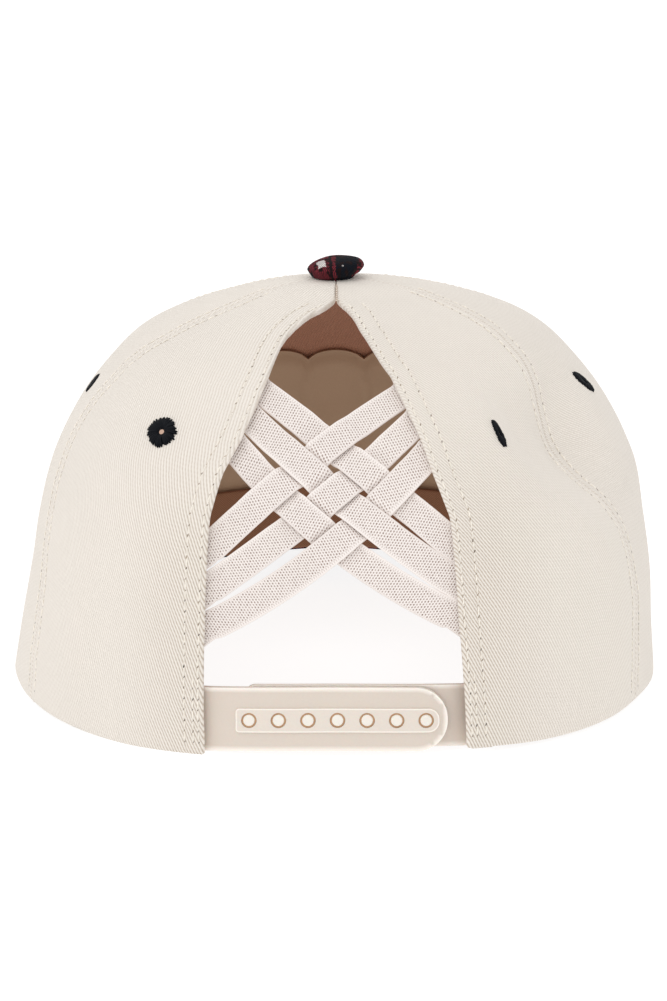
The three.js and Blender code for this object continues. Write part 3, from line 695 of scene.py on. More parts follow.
def make_check(name, cut, repeat, thread):
    material, tree, _ = new_material(name, 0.95, 0.02, 0.08)
    place = put(tree, "ShaderNodeMapping", {"Vector": flat_place(tree), "Location": cut})
    ragged = put(tree, "ShaderNodeTexNoise", {"Vector": place, "Scale": 700, "Detail": 2}, "Color")
    ragged = put(tree, "ShaderNodeVectorMath", {0: ragged, 1: (0.5, 0.5, 0.5)}, operation="SUBTRACT")
    ragged = put(tree, "ShaderNodeVectorMath", {0: ragged, "Scale": CHECK_RAGGED}, operation="SCALE")
    moved = put(tree, "ShaderNodeVectorMath", {0: place, 1: ragged})
    warp, weft = (
        use(tree, group, {"Place": part, "Repeat": repeat})
        for group, part in zip((warp_stripes, weft_stripes), split(moved))
    )
    rib = use(tree, twill, {"Place": place, "Pitch": thread, "Turn": CHECK_TURN})["Rib"]
    waver = noise(place, 900, 2)
    colour = blend(ramp(rib + waver * 0.5, 0.8, 1.05), warp["Color"], weft["Color"])
    colour = blend(ramp(noise(place, 520, 3), 0.5, 0.6), colour, BLACK_BROWN)
    white = blend(ramp(rib, 0.55, 0.95), WHITE, LINE_GREY)
    crossed = warp["White"] * weft["White"] + warp["Line"] * weft["Line"]
    colour = blend(crossed, colour, white)
    return finish_material(material, colour, 500, 0.5, rib + waver, 0.0001)


warp_stripes = make_stripes("warp_stripes", WARP_STRIPES, WARP_WHITES)
weft_stripes = make_stripes("weft_stripes", WEFT_STRIPES, WEFT_WHITES)
visor_check = make_check("visor_check", VISOR_CUT, 0.024, 0.0007)
button_check = make_check("button_check", BUTTON_CUT, 0.016, 0.0006)
print("check cloths ready")

# %% [markdown]
# These helpers do by code what the hand does at the screen: add a flat grid, lay it on the
# form, apply a modifier, and hide the CAD parts that the piece stands for. A grid is laid by
# moving its points, and its flat map keeps the lengths of the cloth as it was cut.

# %% Helpers for pieces
def only(piece):
    bpy.ops.object.select_all(action="DESELECT")
    piece.select_set(True)
    bpy.context.view_layer.objects.active = piece


def read_points(piece):
    points = np.empty(len(piece.data.vertices) * 3)
    piece.data.vertices.foreach_get("co", points)
    return points.reshape(-1, 3)


def write_points(piece, points):
    piece.data.vertices.foreach_set("co", np.ascontiguousarray(points, dtype=np.float32).ravel())
    piece.data.update()


def lay(piece, points, *flat):
    """Moves a piece's points, and sets its flat map as two lists of lengths, in millimetres."""
    write_points(piece, points * MM)
    mesh = piece.data
    corners = np.empty(len(mesh.loops), dtype=np.int32)
    mesh.loops.foreach_get("vertex_index", corners)
    places = (np.stack(flat, -1) * MM)[corners]
    mesh.uv_layers[0].data.foreach_set("uv", places.astype(np.float32).ravel())


def add(primitive, name, **settings):
    """Adds a primitive mesh with nothing else selected, and gives it a name."""
    bpy.ops.object.select_all(action="DESELECT")
    primitive(**settings)
    piece = bpy.context.object
    piece.name = name
    piece.data.name = name
    return piece


def add_grid(name, columns, rows):
    """Adds a flat grid one unit wide and long."""
    return add(bpy.ops.mesh.primitive_grid_add, name, x_subdivisions=columns, y_subdivisions=rows, size=1)


def grid_shares(piece):
    """How far across and up each point of a fresh grid lies, from 0 to 1."""
    flat = read_points(piece)[:, :2] + 0.5
    return flat.T


def modify(piece, kind, **settings):
    """Adds a modifier with its settings, and applies it."""
    only(piece)
    modifier = piece.modifiers.new(kind.lower(), kind)
    for name, value in settings.items():
        setattr(modifier, name, value)
    bpy.ops.object.modifier_apply(modifier=modifier.name)


def bevel(piece, width, segments, angle=40, **settings):
    """Rounds every edge sharper than an angle."""
    modify(piece, "BEVEL", width=width * MM, segments=segments, limit_method="ANGLE",
           angle_limit=math.radians(angle), **settings)


def keep_above_floor(piece):
    points = read_points(piece)
    points[:, 2] = np.maximum(points[:, 2], 0)
    write_points(piece, points)


def smooth_shading(piece, angle):
    only(piece)
    bpy.ops.object.shade_smooth_by_angle(angle=math.radians(angle))


def finish_piece(piece, slot, materials, *nodes):
    """Dresses a piece, lets it ride on the cap, and hides the CAD nodes that it stands for."""
    for index, material in enumerate(materials):
        if index < len(piece.data.materials):
            piece.data.materials[index] = material
        else:
            piece.data.materials.append(material)
    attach(piece, "root")
    if nodes:
        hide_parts(*nodes)
    print(piece.name, "has", len(piece.data.polygons), "faces")
    return piece


print("piece helpers ready")

# %% [markdown]
# A panel of the crown is cut flat and sewn to its neighbours. It could be one smooth shell
# cut by grooves, but then the seams would look drawn on. Here each panel is a sheet of its
# own whose edges really turn in: a hem folds right over, and a seam turns down into the
# cap. So a panel is a list of columns across and rows up, each with a distance from the
# edge and a depth, and the fold is in the list.

# %% Folds at the edges of a panel
HEM_FOLD = 1.1  # half the thickness of the folded hem
HEM_WIDTH = 8
SEAM_FOLD = 0.5
SEAM_DEPTH = 1.7
RIM_FOLD = 0.85
RIM_TURNED_UP = 5
RIM_TUCK = 1.6  # how far the turned-up rim stays back from a hem
CLOTH_THICKNESS = 0.7


def arc_stations(radius, start, count):
    """A fold from an angle down to 0: distance from the edge, and depth."""
    angles = np.linspace(start, 0, count)
    return [(radius * (1 - math.sin(a)), radius * (1 - math.cos(a))) for a in angles]


def hem_stations():
    """From the turned-in edge, round the fold, and across the width of the hem."""
    under = [(HEM_FOLD + far, 2 * HEM_FOLD) for far in np.linspace(HEM_WIDTH - 2, 0.8, 7)]
    over = [(HEM_FOLD + far, 0) for far in np.linspace(0.8, HEM_WIDTH, 10)]
    return under + arc_stations(HEM_FOLD, math.pi, 9) + over


def seam_stations():
    """From the allowance inside, over the fold, and along the stitched strip."""
    down = [(0, depth) for depth in np.linspace(SEAM_DEPTH, SEAM_FOLD + 0.4, 3)]
    over = [(SEAM_FOLD + far, 0) for far in np.linspace(0.5, 6, 11)]
    return down + arc_stations(SEAM_FOLD, math.pi / 2, 5) + over


def rim_stations():
    under = [(RIM_FOLD + far, 2 * RIM_FOLD) for far in np.linspace(RIM_TURNED_UP, 0.9, 5)]
    return under + arc_stations(RIM_FOLD, math.pi, 7)


STATIONS = {"hem": hem_stations(), "seam": seam_stations()}
print("a hem has", len(STATIONS["hem"]), "columns and a seam", len(STATIONS["seam"]))

# %% [markdown]
# Stitching pulls the cloth in. Along each row of stitches the surface dips, a little more
# at every needle hole, and beside a seam the cloth puckers in short soft waves.

# %% How stitching shapes the cloth
STITCH_PITCH = 2.85
HEM_ROWS = (1.35, 5.3)  # rows of stitches, as distances from the edge
SEAM_ROWS = (2.7,)
EDGE_ROWS = {"hem": HEM_ROWS, "seam": SEAM_ROWS}
STITCH_DIP = 0.1
STITCH_DIP_HALF = 0.6  # half the width of the dip along a row
PUCKER = 0.07
PUCKER_REACH = 4.5


def stitched_in(kind, distance, slope):
    """How deep stitching pulls the cloth, by distance from an edge and height up the slope."""
    beat = 0.5 + 0.5 * np.cos(math.tau * slope / STITCH_PITCH)
    depth = np.zeros(np.shape(distance))
    for row in EDGE_ROWS[kind]:
        depth = depth + STITCH_DIP * (1 + beat) * np.exp(-(((distance - row) / STITCH_DIP_HALF) ** 2))
    pucker = np.sin(slope / 1.9 + 1.7 * np.sin(slope / 8.3)) * np.exp(-((distance / PUCKER_REACH) ** 2))
    return depth - PUCKER * pucker


print("a stitch is", STITCH_PITCH, "mm long")

# %% [markdown]
# Now the five panels. Each one runs from one edge angle to another, both of which change
# with the height. The middle columns share out what is left between the folds.

# %% The panels
ROW_COUNT = 176
MIDDLE_COLUMNS = 66
SEAM_GAP = 0.12
FOLD_SHARE = 0.3  # the most of a panel's width that one fold may take near the button
CORNER_SHARE = 0.25  # how much the thinner of two folds adds where they lie on each other
STITCH_FADE = 20  # length below the button over which the stitches' pull fades out


def panel_rows():
    """Slope lengths and depths of a panel's rows, from the turned-up rim to the button."""
    folds = rim_stations()
    start = folds[-1][0]
    slopes = np.linspace(start, PROFILE_LENGTHS[-1], ROW_COUNT - len(folds) + 1)[1:]
    return np.array(folds + [(slope, 0) for slope in slopes])


def panel_columns(left_kind, right_kind):
    """Columns as edge (-1, 0 or 1), distance from it, share of the middle, and depth."""
    left = [(-1, far, 0, depth) for far, depth in STATIONS[left_kind]]
    right = [(1, far, 0, depth) for far, depth in reversed(STATIONS[right_kind])]
    middle = [(0, 0, share, 0) for share in np.linspace(0, 1, MIDDLE_COLUMNS + 2)[1:-1]]
    return np.array(left + middle + right)


def panel_place(columns, left, right, level, tucks):
    """Angle round the crown, and distances from both edges, for columns at levels."""
    per_mm = degrees_for(1, (left + right) / 2, level)
    edge, far, share, _ = columns.T
    last = [far[edge == side].max() for side in (-1, 1)]
    per_mm = np.minimum(per_mm, FOLD_SHARE * (right - left) / max(last))
    left_in, right_in = (SEAM_GAP + tuck for tuck in tucks)
    low = left + per_mm * (last[0] + left_in)
    high = right - per_mm * (last[1] + right_in)
    azimuth = np.where(edge == -1, left + per_mm * (far + left_in), low + share * (high - low))
    azimuth = np.where(edge == 1, right - per_mm * (far + right_in), azimuth)
    scale = degrees_for(1, azimuth, level)
    return azimuth, (azimuth - left) / scale, (right - azimuth) / scale


def face_folds(piece, column_folded, row_folded):
    """Only the middle of a panel shows its inner side. The folds are cream all over."""
    in_column = column_folded[:-1] | column_folded[1:]
    in_row = row_folded[:-1] | row_folded[1:]
    folded = (in_row[:, None] | in_column[None, :]).ravel()
    sides = np.empty(len(piece.data.polygons), dtype=np.int32)
    piece.data.polygons.foreach_get("material_index", sides)
    inner = slice(len(folded), 2 * len(folded))
    sides[inner] = np.where(folded, 0, sides[inner])
    piece.data.polygons.foreach_set("material_index", sides)


RIB_BEND = 0.013  # the ribs lean more towards the top, this much a millimetre
RIB_BEND_FROM = PROFILE_LENGTHS[-1] - 38


def turn_map(across, slope, degrees):
    """The flat map of a panel, turned so that its ribs run as the cloth was cut."""
    turn = math.radians(degrees)
    across = across - RIB_BEND * np.maximum(slope - RIB_BEND_FROM, 0) ** 2 / 2
    turned_across = across * math.cos(turn) + slope * math.sin(turn)
    turned_up = slope * math.cos(turn) - across * math.sin(turn)
    return turned_across, turned_up


def make_panel(name, left_kind, right_kind, left_of, right_of, grain):
    rows = panel_rows()
    columns = panel_columns(left_kind, right_kind)
    piece = add_grid(name, len(columns) - 1, len(rows) - 1)
    across, up = grid_shares(piece)
    column = columns[np.rint(across * (len(columns) - 1)).astype(int)]
    row = rows[np.rint(up * (len(rows) - 1)).astype(int)]
    slope, row_depth = row.T
    level = level_up(slope)
    turned_up = RIM_TUCK * row_depth / (2 * RIM_FOLD)
    tucks = [turned_up * (kind == "hem") for kind in (left_kind, right_kind)]
    azimuth, from_left, from_right = panel_place(column, left_of(level), right_of(level), level, tucks)
    pull = stitched_in(left_kind, from_left, slope) + stitched_in(right_kind, from_right, slope)
    fade = smooth((PROFILE_LENGTHS[-1] - slope) / STITCH_FADE)
    folded = np.maximum(column[:, 3], row_depth) + CORNER_SHARE * np.minimum(column[:, 3], row_depth)
    points = cloth_point(azimuth, level, folded + pull * fade)
    middle = (left_of(level) + right_of(level)) / 2
    lay(piece, points, *turn_map((azimuth - middle) / degrees_for(1, azimuth, level), slope, grain))
    piece.data.materials.append(cream)
    piece.data.materials.append(inside)
    modify(piece, "SOLIDIFY", thickness=CLOTH_THICKNESS * MM, offset=-1,
           use_quality_normals=True, material_offset=1, material_offset_rim=0)
    face_folds(piece, columns[:, 3] > 0, rows[:, 1] > 0)
    keep_above_floor(piece)
    smooth_shading(piece, 60)
    return finish_piece(piece, "twill", [cream, inside], name.replace("_cloth", ""))


PANELS = {  # the kinds and places of both edges, and how far the cut turns the ribs
    "back_left_panel_cloth": ("seam", "hem", left_seam, left_opening, 4),
    "back_right_panel_cloth": ("hem", "seam", right_opening, right_seam, 6),
    "side_left_panel_cloth": ("seam", "seam", constant(-FRONT_SEAM), left_seam, 35),
    "side_right_panel_cloth": ("seam", "seam", right_seam, constant(FRONT_SEAM), 10),
    "front_panel_cloth": ("seam", "seam", constant(FRONT_SEAM), constant(360 - FRONT_SEAM), 0),
}
panels = {name: make_panel(name, *details) for name, details in PANELS.items()}

# %% [markdown]
# Each stitch is a short thread, a little arched, with its ends drawn into the cloth where
# the needle went through. One round tube is built along a short line, and a loop repeats
# it along each row. The needle holes are short slanting dashes of painted shade, separate
# and sunk in the cloth, and no two are quite alike. Both are put down on the finished panel,
# so they follow every wave of it.

# %% Threads and needle holes
def ring_round(sides, first, second):
    """Directions round a circle in the plane of two vectors."""
    angles = np.arange(sides) * math.tau / sides
    return np.cos(angles)[:, None, None] * first + np.sin(angles)[:, None, None] * second


def rings(line, ring, radii):
    """Rings of points along a line, as one list."""
    return (line + ring * radii[:, None]).transpose(1, 0, 2).reshape(-1, 3)


def tube_points(line, radii, normals, sides):
    """Points of a round tube along a line."""
    along = unit(np.gradient(line, axis=0))
    side = unit(np.cross(along, normals))
    return rings(line, ring_round(sides, side, np.cross(side, along)), radii)


def tube_faces(count, sides):
    """Faces between rings of points, and a face at both ends."""
    faces = []
    for k in range(count - 1):
        for i in range(sides):
            j = (i + 1) % sides
            faces.append([k * sides + i, k * sides + j, (k + 1) * sides + j, (k + 1) * sides + i])
    return [list(reversed(range(sides))), *faces, [(count - 1) * sides + i for i in range(sides)]]


def joined(name, shapes, faces):
    """One mesh of many copies that share the same faces."""
    size = len(shapes[0])
    every = [[index + size * k for index in face] for k in range(len(shapes)) for face in faces]
    mesh = bpy.data.meshes.new(name)
    mesh.from_pydata((np.concatenate(shapes) * MM).tolist(), [], every)
    piece = bpy.data.objects.new(name, mesh)
    bpy.context.scene.collection.objects.link(piece)
    smooth_shading(piece, 80)
    return piece


THREAD_RADIUS = 0.2
THREAD_SIDES = 6
THREAD_ARCH = np.array((-0.22, 0.08, 0.16, 0.08, -0.22))
THREAD_SHARES = np.array((0, 0.2, 0.5, 0.8, 1))
THREAD_SIZES = np.array((0.6, 0.95, 1, 0.95, 0.6)) * THREAD_RADIUS
HOLE_RADII = np.array((0.1, 0.19, 0.16, 0.04))
HOLE_HEIGHTS = np.array((-0.3, -0.06, 0.03, 0.06))
HOLE_LENGTH = 2.8  # times its width
HOLE_LEAN = 0.55  # how far it slants across the row
HOLE_ZIGZAG = 0.09
HOLE_SIZES = (0.55, 1.1)
HOLE_SHIFT = 0.06  # spread of a hole's place along the row
HOLE_LEAN_SPREAD = 0.2
STITCH_SHARE = 0.8  # share of a stitch's pitch that its thread takes


def along_row(points, pitch):
    """Places a pitch apart along a line of points."""
    lengths = np.concatenate(([0], np.cumsum(np.linalg.norm(np.diff(points, axis=0), axis=1))))
    marks = np.arange(pitch, lengths[-1] - pitch, pitch)
    return np.stack([np.interp(marks, lengths, points[:, axis]) for axis in range(3)], axis=1)


def seated(panel, points):
    """The nearest places on a finished panel, and the way that it faces there."""
    hits = [panel.closest_point_on_mesh(Vector(point * MM)) for point in points]
    return (np.array([hit[1] for hit in hits]) / MM, unit(np.array([hit[2] for hit in hits])))


def needle_hole(here, along, normal, step, random):
    """A short slanting dash of painted shade where the needle went through, now wider and now narrower."""
    side = np.cross(along, normal)
    centre = here + HOLE_ZIGZAG * (-1) ** step * side + random.normal(0, HOLE_SHIFT) * along
    line = unit(along + (HOLE_LEAN + random.normal(0, HOLE_LEAN_SPREAD)) * side)
    width = np.cross(line, normal)
    size = random.uniform(*HOLE_SIZES)
    ring = ring_round(THREAD_SIDES, width, HOLE_LENGTH * line)
    return rings(centre + HOLE_HEIGHTS[:, None] * normal, size * ring, HOLE_RADII)


def sew(panel, lines, pitch):
    """Thread and needle holes along lines of points on a panel, as lists of shapes."""
    random = np.random.default_rng(len(lines[0]))
    threads, holes = [], []
    for line in lines:
        places, normals = seated(panel, along_row(line, pitch))
        for here, there, normal in zip(places[:-1], places[1:], normals):
            gap = (there - here) * (1 - STITCH_SHARE) / 2
            start, end = here + gap, there - gap
            middle = start + THREAD_SHARES[:, None] * (end - start)
            ups = np.repeat(normal[None], len(middle), axis=0)
            arched = middle + THREAD_ARCH[:, None] * ups
            threads.append(tube_points(arched, THREAD_SIZES, ups, THREAD_SIDES))
            holes.append(needle_hole(here, unit(there - here), normal, len(holes), random))
    return threads, holes


def make_stitches(name, rows, thread_material, slot, pitch=STITCH_PITCH):
    """Sews rows, given as (panel, lines), and joins their threads and their holes."""
    sewn = [sew(panel, lines, pitch) for panel, lines in rows]
    threads, holes = (sum(shapes, []) for shapes in zip(*sewn))
    thread = joined(name, threads, tube_faces(len(THREAD_ARCH), THREAD_SIDES))
    finish_piece(thread, slot, [thread_material])
    hole = joined(name + "_holes", holes, tube_faces(len(HOLE_RADII), THREAD_SIDES))
    finish_piece(hole, slot, [hole_shade])


def crown_lines(edge_of, side, rows):
    """Lines on the crown at distances from an edge angle, each up to its own slope length."""
    lines = []
    for distance, top in rows:
        level = level_up(np.linspace(ROW_START, top, 160))
        azimuth = edge_of(level) + side * degrees_for(distance, edge_of(level), level)
        lines.append(cloth_point(azimuth, level, 0))
    return lines


ROW_START = 0.6
SEAM_TOP = PROFILE_LENGTHS[-1] - 12
HEM_TOP = PROFILE_LENGTHS[-1] - 15
CLOSURE_ROW = 2.8  # a third row holds the closure, this far from the edge
CLOSURE_ROW_TOP = 24
HEM_LINES = [(row, HEM_TOP) for row in HEM_ROWS] + [(CLOSURE_ROW, CLOSURE_ROW_TOP)]
SEAM_LINES = [(row, SEAM_TOP) for row in SEAM_ROWS]
SEAMS = (  # where each seam lies, and the panels before and after it
    (left_seam, "side_left", "back_left"),
    (right_seam, "back_right", "side_right"),
    (constant(FRONT_SEAM), "side_right", "front"),
    (constant(360 - FRONT_SEAM), "front", "side_left"),
)

hem_rows = [
    (panels["back_left_panel_cloth"], crown_lines(left_opening, -1, HEM_LINES)),
    (panels["back_right_panel_cloth"], crown_lines(right_opening, 1, HEM_LINES)),
]
seam_rows = [
    (panels[f"{panel}_panel_cloth"], crown_lines(edge_of, side, SEAM_LINES))
    for edge_of, *both in SEAMS
    for side, panel in zip((-1, 1), both)
]
make_stitches("hem_stitches", hem_rows, cream_thread, "twill")
make_stitches("seam_stitches", seam_rows, cream_thread, "twill")

# %% [markdown]
# Above the opening the two back panels meet in one short seam, and a thin cord is sewn over
# it, up to the button. It has a tan and a cream strand, twisted round each other.

# %% The twisted cord
CORD_LOW = 107.2  # height at which it starts, at the top of the opening
CORD_TOP = PROFILE_LENGTHS[-1] - 7.5
CORD_STRAND = 0.13
CORD_TWIST = 0.12
CORD_PITCH = 1.3
CORD_ASIDE = np.array((0.15, 0, 0))
CORD_RINGS = 90
CORD_SIDES = 8


def make_cord():
    slope = np.linspace(slope_length(level_at(CORD_LOW)), CORD_TOP, CORD_RINGS)
    level = level_up(slope)
    back = np.zeros(CORD_RINGS)
    middle = cloth_point(back, level, -0.1)
    ups = form_normal(back, level)
    across = np.cross(unit(np.gradient(middle, axis=0)), ups)
    strands = []
    for start in (0, math.pi):
        turn = (slope * math.tau / CORD_PITCH + start)[:, None]
        line = middle + CORD_ASIDE + CORD_TWIST * (np.cos(turn) * across + np.sin(turn) * ups)
        strands.append(tube_points(line, back + CORD_STRAND, ups, CORD_SIDES))
    cord = joined("seam_cord", strands, tube_faces(CORD_RINGS, CORD_SIDES))
    for face in cord.data.polygons:
        face.material_index = int(2 * face.index >= len(cord.data.polygons))
    return finish_piece(cord, "lining", [tan_thread, cream_thread])


make_cord()

# %% [markdown]
# An eyelet is an embroidered ring. Some forty stitches of dark silky thread run from its
# small hole outwards, each a bit longer or shorter than the next, which makes the ragged
# edge. A plain ring with a bump would have a clean edge, so every thread is real here, laid
# on a low round ring that carries them. Where the cloth is pinched, the ring is squeezed to
# an oval.

# %% The eyelets
EYELETS = {  # azimuth, height, size, direction and share of the pinch in the cloth, rise
    "eyelet_back_left": (-37.7, 78.9, 1.24, -123.6, 0.79, 1),
    "eyelet_side_left": (-89, 80.3, 0.78, 0, 1, 0.3),
    "eyelet_back_right": (35.1, 79.9, 1.08, 174, 0.26, 0.7),
    "eyelet_side_right": (79.2, 83.5, 1.38, -147, 0.36, 0.5),
}
EYELET_THREADS = 46
EYELET_RADIUS = 4.1
EYELET_HOLE = 0.75
EYELET_PATCH = 1.3  # radius of the inner cloth that shows in the hole
EYELET_PATCH_RISE = 0.15
EYELET_RING = {"major_segments": 48, "minor_segments": 12, "major_radius": 2.15, "minor_radius": 1.45}
RING_FLATTER = 0.22
EYELET_RAGGED = 0.35
EYELET_TURNED = 0.2  # how unevenly its threads are spread, in shares of their pitch
EYELET_BENT = 0.05
EYELET_RISES = (0.85, 1.1)
EYELET_SHARES = np.array((0, 0.06, 0.2, 0.45, 0.72, 0.93, 1))
EYELET_RISE = np.array((-0.1, 0.35, 0.6, 0.7, 0.55, 0.2, -0.15))
EYELET_SIZES = np.array((0.08, 0.13, 0.2, 0.27, 0.32, 0.28, 0.14))


def on_crown(centre, radius, angle, rise):
    """A place near an eyelet: out from its centre, round it, and above the cloth."""
    azimuth, height, size, pinched, share, raised = centre
    level = level_at(height)
    slope = slope_length(level + 0.5) - slope_length(level - 0.5)
    pinch = math.radians(pinched)
    along = size * radius * share * np.cos(angle - pinch)
    across = size * radius * np.sin(angle - pinch)
    right = along * math.cos(pinch) - across * math.sin(pinch)
    up = along * math.sin(pinch) + across * math.cos(pinch)
    return cloth_point(azimuth + degrees_for(right, azimuth, level), level + up / slope, -rise * raised)


def make_eyelet(name, centre, seed):
    random = np.random.default_rng(seed)
    shapes = []
    for k in range(EYELET_THREADS):
        angle = math.tau * (k + random.uniform(-EYELET_TURNED, EYELET_TURNED)) / EYELET_THREADS
        length = EYELET_RADIUS + random.uniform(-EYELET_RAGGED, EYELET_RAGGED)
        radius = EYELET_HOLE + EYELET_SHARES * (length - EYELET_HOLE)
        bend = angle + random.uniform(-EYELET_BENT, EYELET_BENT) * EYELET_SHARES
        rise = EYELET_RISE * random.uniform(*EYELET_RISES)
        line = on_crown(centre, radius, bend, rise)
        ups = unit(on_crown(centre, radius, bend, rise + 1) - line)
        shapes.append(tube_points(line, EYELET_SIZES, ups, THREAD_SIDES))
    threads = joined(name + "_threads", shapes, tube_faces(len(EYELET_SHARES), THREAD_SIDES))
    return finish_piece(threads, "thread", [navy_thread])


def lay_round(piece, centre, flatter, rise, material):
    """Lays a round piece on the crown at an eyelet's place."""
    x, y, z = read_points(piece).T
    points = on_crown(centre, np.hypot(x, y), np.arctan2(y, x), flatter * z + rise)
    write_points(piece, points * MM)
    piece.data.materials.clear()
    piece.data.materials.append(material)


def make_eyelet_ring(name, centre):
    """A low ring under the threads, and a patch of inner cloth that shows in its hole."""
    patch = add(bpy.ops.mesh.primitive_circle_add, "patch", vertices=24, radius=EYELET_PATCH,
                fill_type="TRIFAN")
    lay_round(patch, centre, 1, EYELET_PATCH_RISE, hole_cloth)
    ring = add(bpy.ops.mesh.primitive_torus_add, name + "_ring", **EYELET_RING)
    lay_round(ring, centre, RING_FLATTER, EYELET_PATCH_RISE, navy_thread)
    patch.select_set(True)
    bpy.ops.object.join()
    smooth_shading(ring, 80)
    return finish_piece(ring, "thread", [navy_thread, hole_cloth], name)


for seed, (name, centre) in enumerate(EYELETS.items()):
    make_eyelet_ring(name, centre)
    make_eyelet(name, centre, seed)

# %% [markdown]
# Inside the front, a brown lining is sewn in. Its top edge is cut in shallow scallops and
# stitched close to the panel, and a faint crease runs down from each point between them.

# %% The front lining
LINING_DEPTH = 2.2
LINING_DRAWN = 1.3  # how much nearer to the panel its top edge is stitched
LINING_FADE = 5  # length over which it comes away from the panel
LINING_THICKNESS = 0.8
LINING_LOW = 11
LINING_HIGH = 70.5
SCALLOP_RISE = 2.6
SCALLOP_PITCH = 11.1  # degrees
SCALLOPS = 9
CREASE_DEPTH = 0.9
CREASE_HALF = 0.12  # half its width, as a share of half a scallop
FRONT = 180  # degrees


def scallop_phase(azimuth):
    """From -1 to 1 across each scallop."""
    turns = (azimuth - FRONT) / SCALLOP_PITCH + 0.5
    return 2 * (turns - np.floor(turns)) - 1


def make_lining():
    piece = add_grid("front_lining_cloth", SCALLOPS * 16, 60)
    across, up = grid_shares(piece)
    half = SCALLOPS * SCALLOP_PITCH / 2
    azimuth = FRONT - half + across * 2 * half
    phase = scallop_phase(np.clip(azimuth, FRONT - half + 1e-6, FRONT + half - 1e-6))
    top = level_at(LINING_HIGH + SCALLOP_RISE * (1 - phase**2))
    level = level_at(LINING_LOW) + up * (top - level_at(LINING_LOW))
    crease = CREASE_DEPTH * np.exp(-(((1 - np.abs(phase)) / CREASE_HALF) ** 2)) * smooth(up * 1.4 - 0.3)
    crease = crease * (np.abs(azimuth - FRONT) < half - 2)
    drawn = LINING_DRAWN * (1 - smooth((slope_length(top) - slope_length(level)) / LINING_FADE))
    points = cloth_point(azimuth, level, LINING_DEPTH - drawn + crease)
    lay(piece, points, np.radians(azimuth) * CROWN_RADIUS, slope_length(level))
    modify(piece, "SOLIDIFY", thickness=LINING_THICKNESS * MM, offset=-1)
    smooth_shading(piece, 50)
    return finish_piece(piece, "lining", [taupe], "front_lining")


make_lining()

# %% [markdown]
# The sweatband is a strip folded over at its top and sewn to the rim. It runs from hem to
# hem, and at the front it hangs a little lower than the rim.

# %% The sweatband
BAND_OUTER = 3.6
BAND_THICKNESS = 1.2
BAND_START = 27.5
BAND_LOW_LEVEL = 0.06
BAND_HEIGHT = 20
BAND_DROP = 3.3
BAND_DROP_FROM = 4
BAND_RIPPLE = 0.18


def band_point(azimuth, share, depth):
    level = BAND_LOW_LEVEL + share * (level_at(BAND_HEIGHT) - BAND_LOW_LEVEL)
    ripple = BAND_RIPPLE * np.sin(azimuth / 2.3 + 1.2 * np.sin(azimuth / 7)) * share
    point = cloth_point(azimuth, level, depth + ripple)
    dropped = smooth((rim_rise(azimuth) - BAND_DROP_FROM) / BAND_DROP_FROM)
    point[..., 2] -= BAND_DROP * dropped * (1 - share)
    return point


def make_sweatband():
    piece = add_grid("sweatband_cloth", 300, 16)
    across, up = grid_shares(piece)
    azimuth = BAND_START + across * (360 - 2 * BAND_START)
    points = band_point(azimuth, up, BAND_OUTER)
    lay(piece, points, np.radians(azimuth) * CROWN_RADIUS, up * BAND_HEIGHT)
    modify(piece, "SOLIDIFY", thickness=BAND_THICKNESS * MM, offset=-1)
    bevel(piece, 0.5, 3, 60)
    smooth_shading(piece, 60)
    return finish_piece(piece, "band", [brown], "sweatband")


make_sweatband()

# %% [markdown]
# Six elastic straps lace the opening: three run down to the right, three down to the left,
# and each passes over one and under the next. The straps lie in a sheet that spans the gap
# from hem to hem. A strap is a grid whose columns run the same way as the straps that it
# crosses, so it can change from over to under exactly in the gaps between them.

# %% The elastic straps
# Heights of the middle line at both edges, and how far its middle is bowed upwards
STRAPS_DOWN_RIGHT = ((89.2, 53.8, 1.5), (83.6, 44.1, -1), (76.9, 35.4, -4))
STRAPS_DOWN_LEFT = ((52, 88.4, 2.7), (41.9, 82.6, -0.8), (32.4, 75.6, -4.1))
BOW_STEPS = 6  # steps that find where two bowed straps cross
STRAP_WIDTH = 8.25
STRAP_THICKNESS = 0.85
STRAP_WEAVE = 0.66
STRAP_TUCK = 6
STRAP_DEPTH = 3.5
STRAP_CHANGE = 2.6  # length over which a strap goes from over to under
STRAP_EASE = 4.5
COMB_SIDES = {"down_right": (1, -1, 1), "down_left": (1, 1, -1)}  # 1 where the upper edge is ribbed


def back_face(x, height):
    """Where the plain form's back lies, by place across and height."""
    level = level_at(height)
    side = np.where(x < 0, between(CROWN["left"], level), between(CROWN["right"], level))
    square = between(CROWN["square"], level)
    return -between(CROWN["back"], level) * (1 - np.abs(x / side) ** square) ** (1 / square)


def back_face_at(x, height, depth):
    """The same face, at a depth measured square to it."""
    step = 0.5
    across = (back_face(x + step, height) - back_face(x - step, height)) / (2 * step)
    upward = (back_face(x, height + step) - back_face(x, height - step)) / (2 * step)
    return back_face(x, height) + depth * np.sqrt(1 + across**2 + upward**2)


def strap_sheet(x, height):
    """Straight from hem to hem, and along the hems' inside beyond them."""
    left, right = edge_x(left_opening, height), edge_x(right_opening, height)
    ends = [back_face_at(edge, height, STRAP_DEPTH) for edge in (left, right)]
    share = (x - left) / (right - left)
    straight = ends[0] + share * (ends[1] - ends[0])
    return np.where((share > 0) & (share < 1), straight, back_face_at(x, height, STRAP_DEPTH))


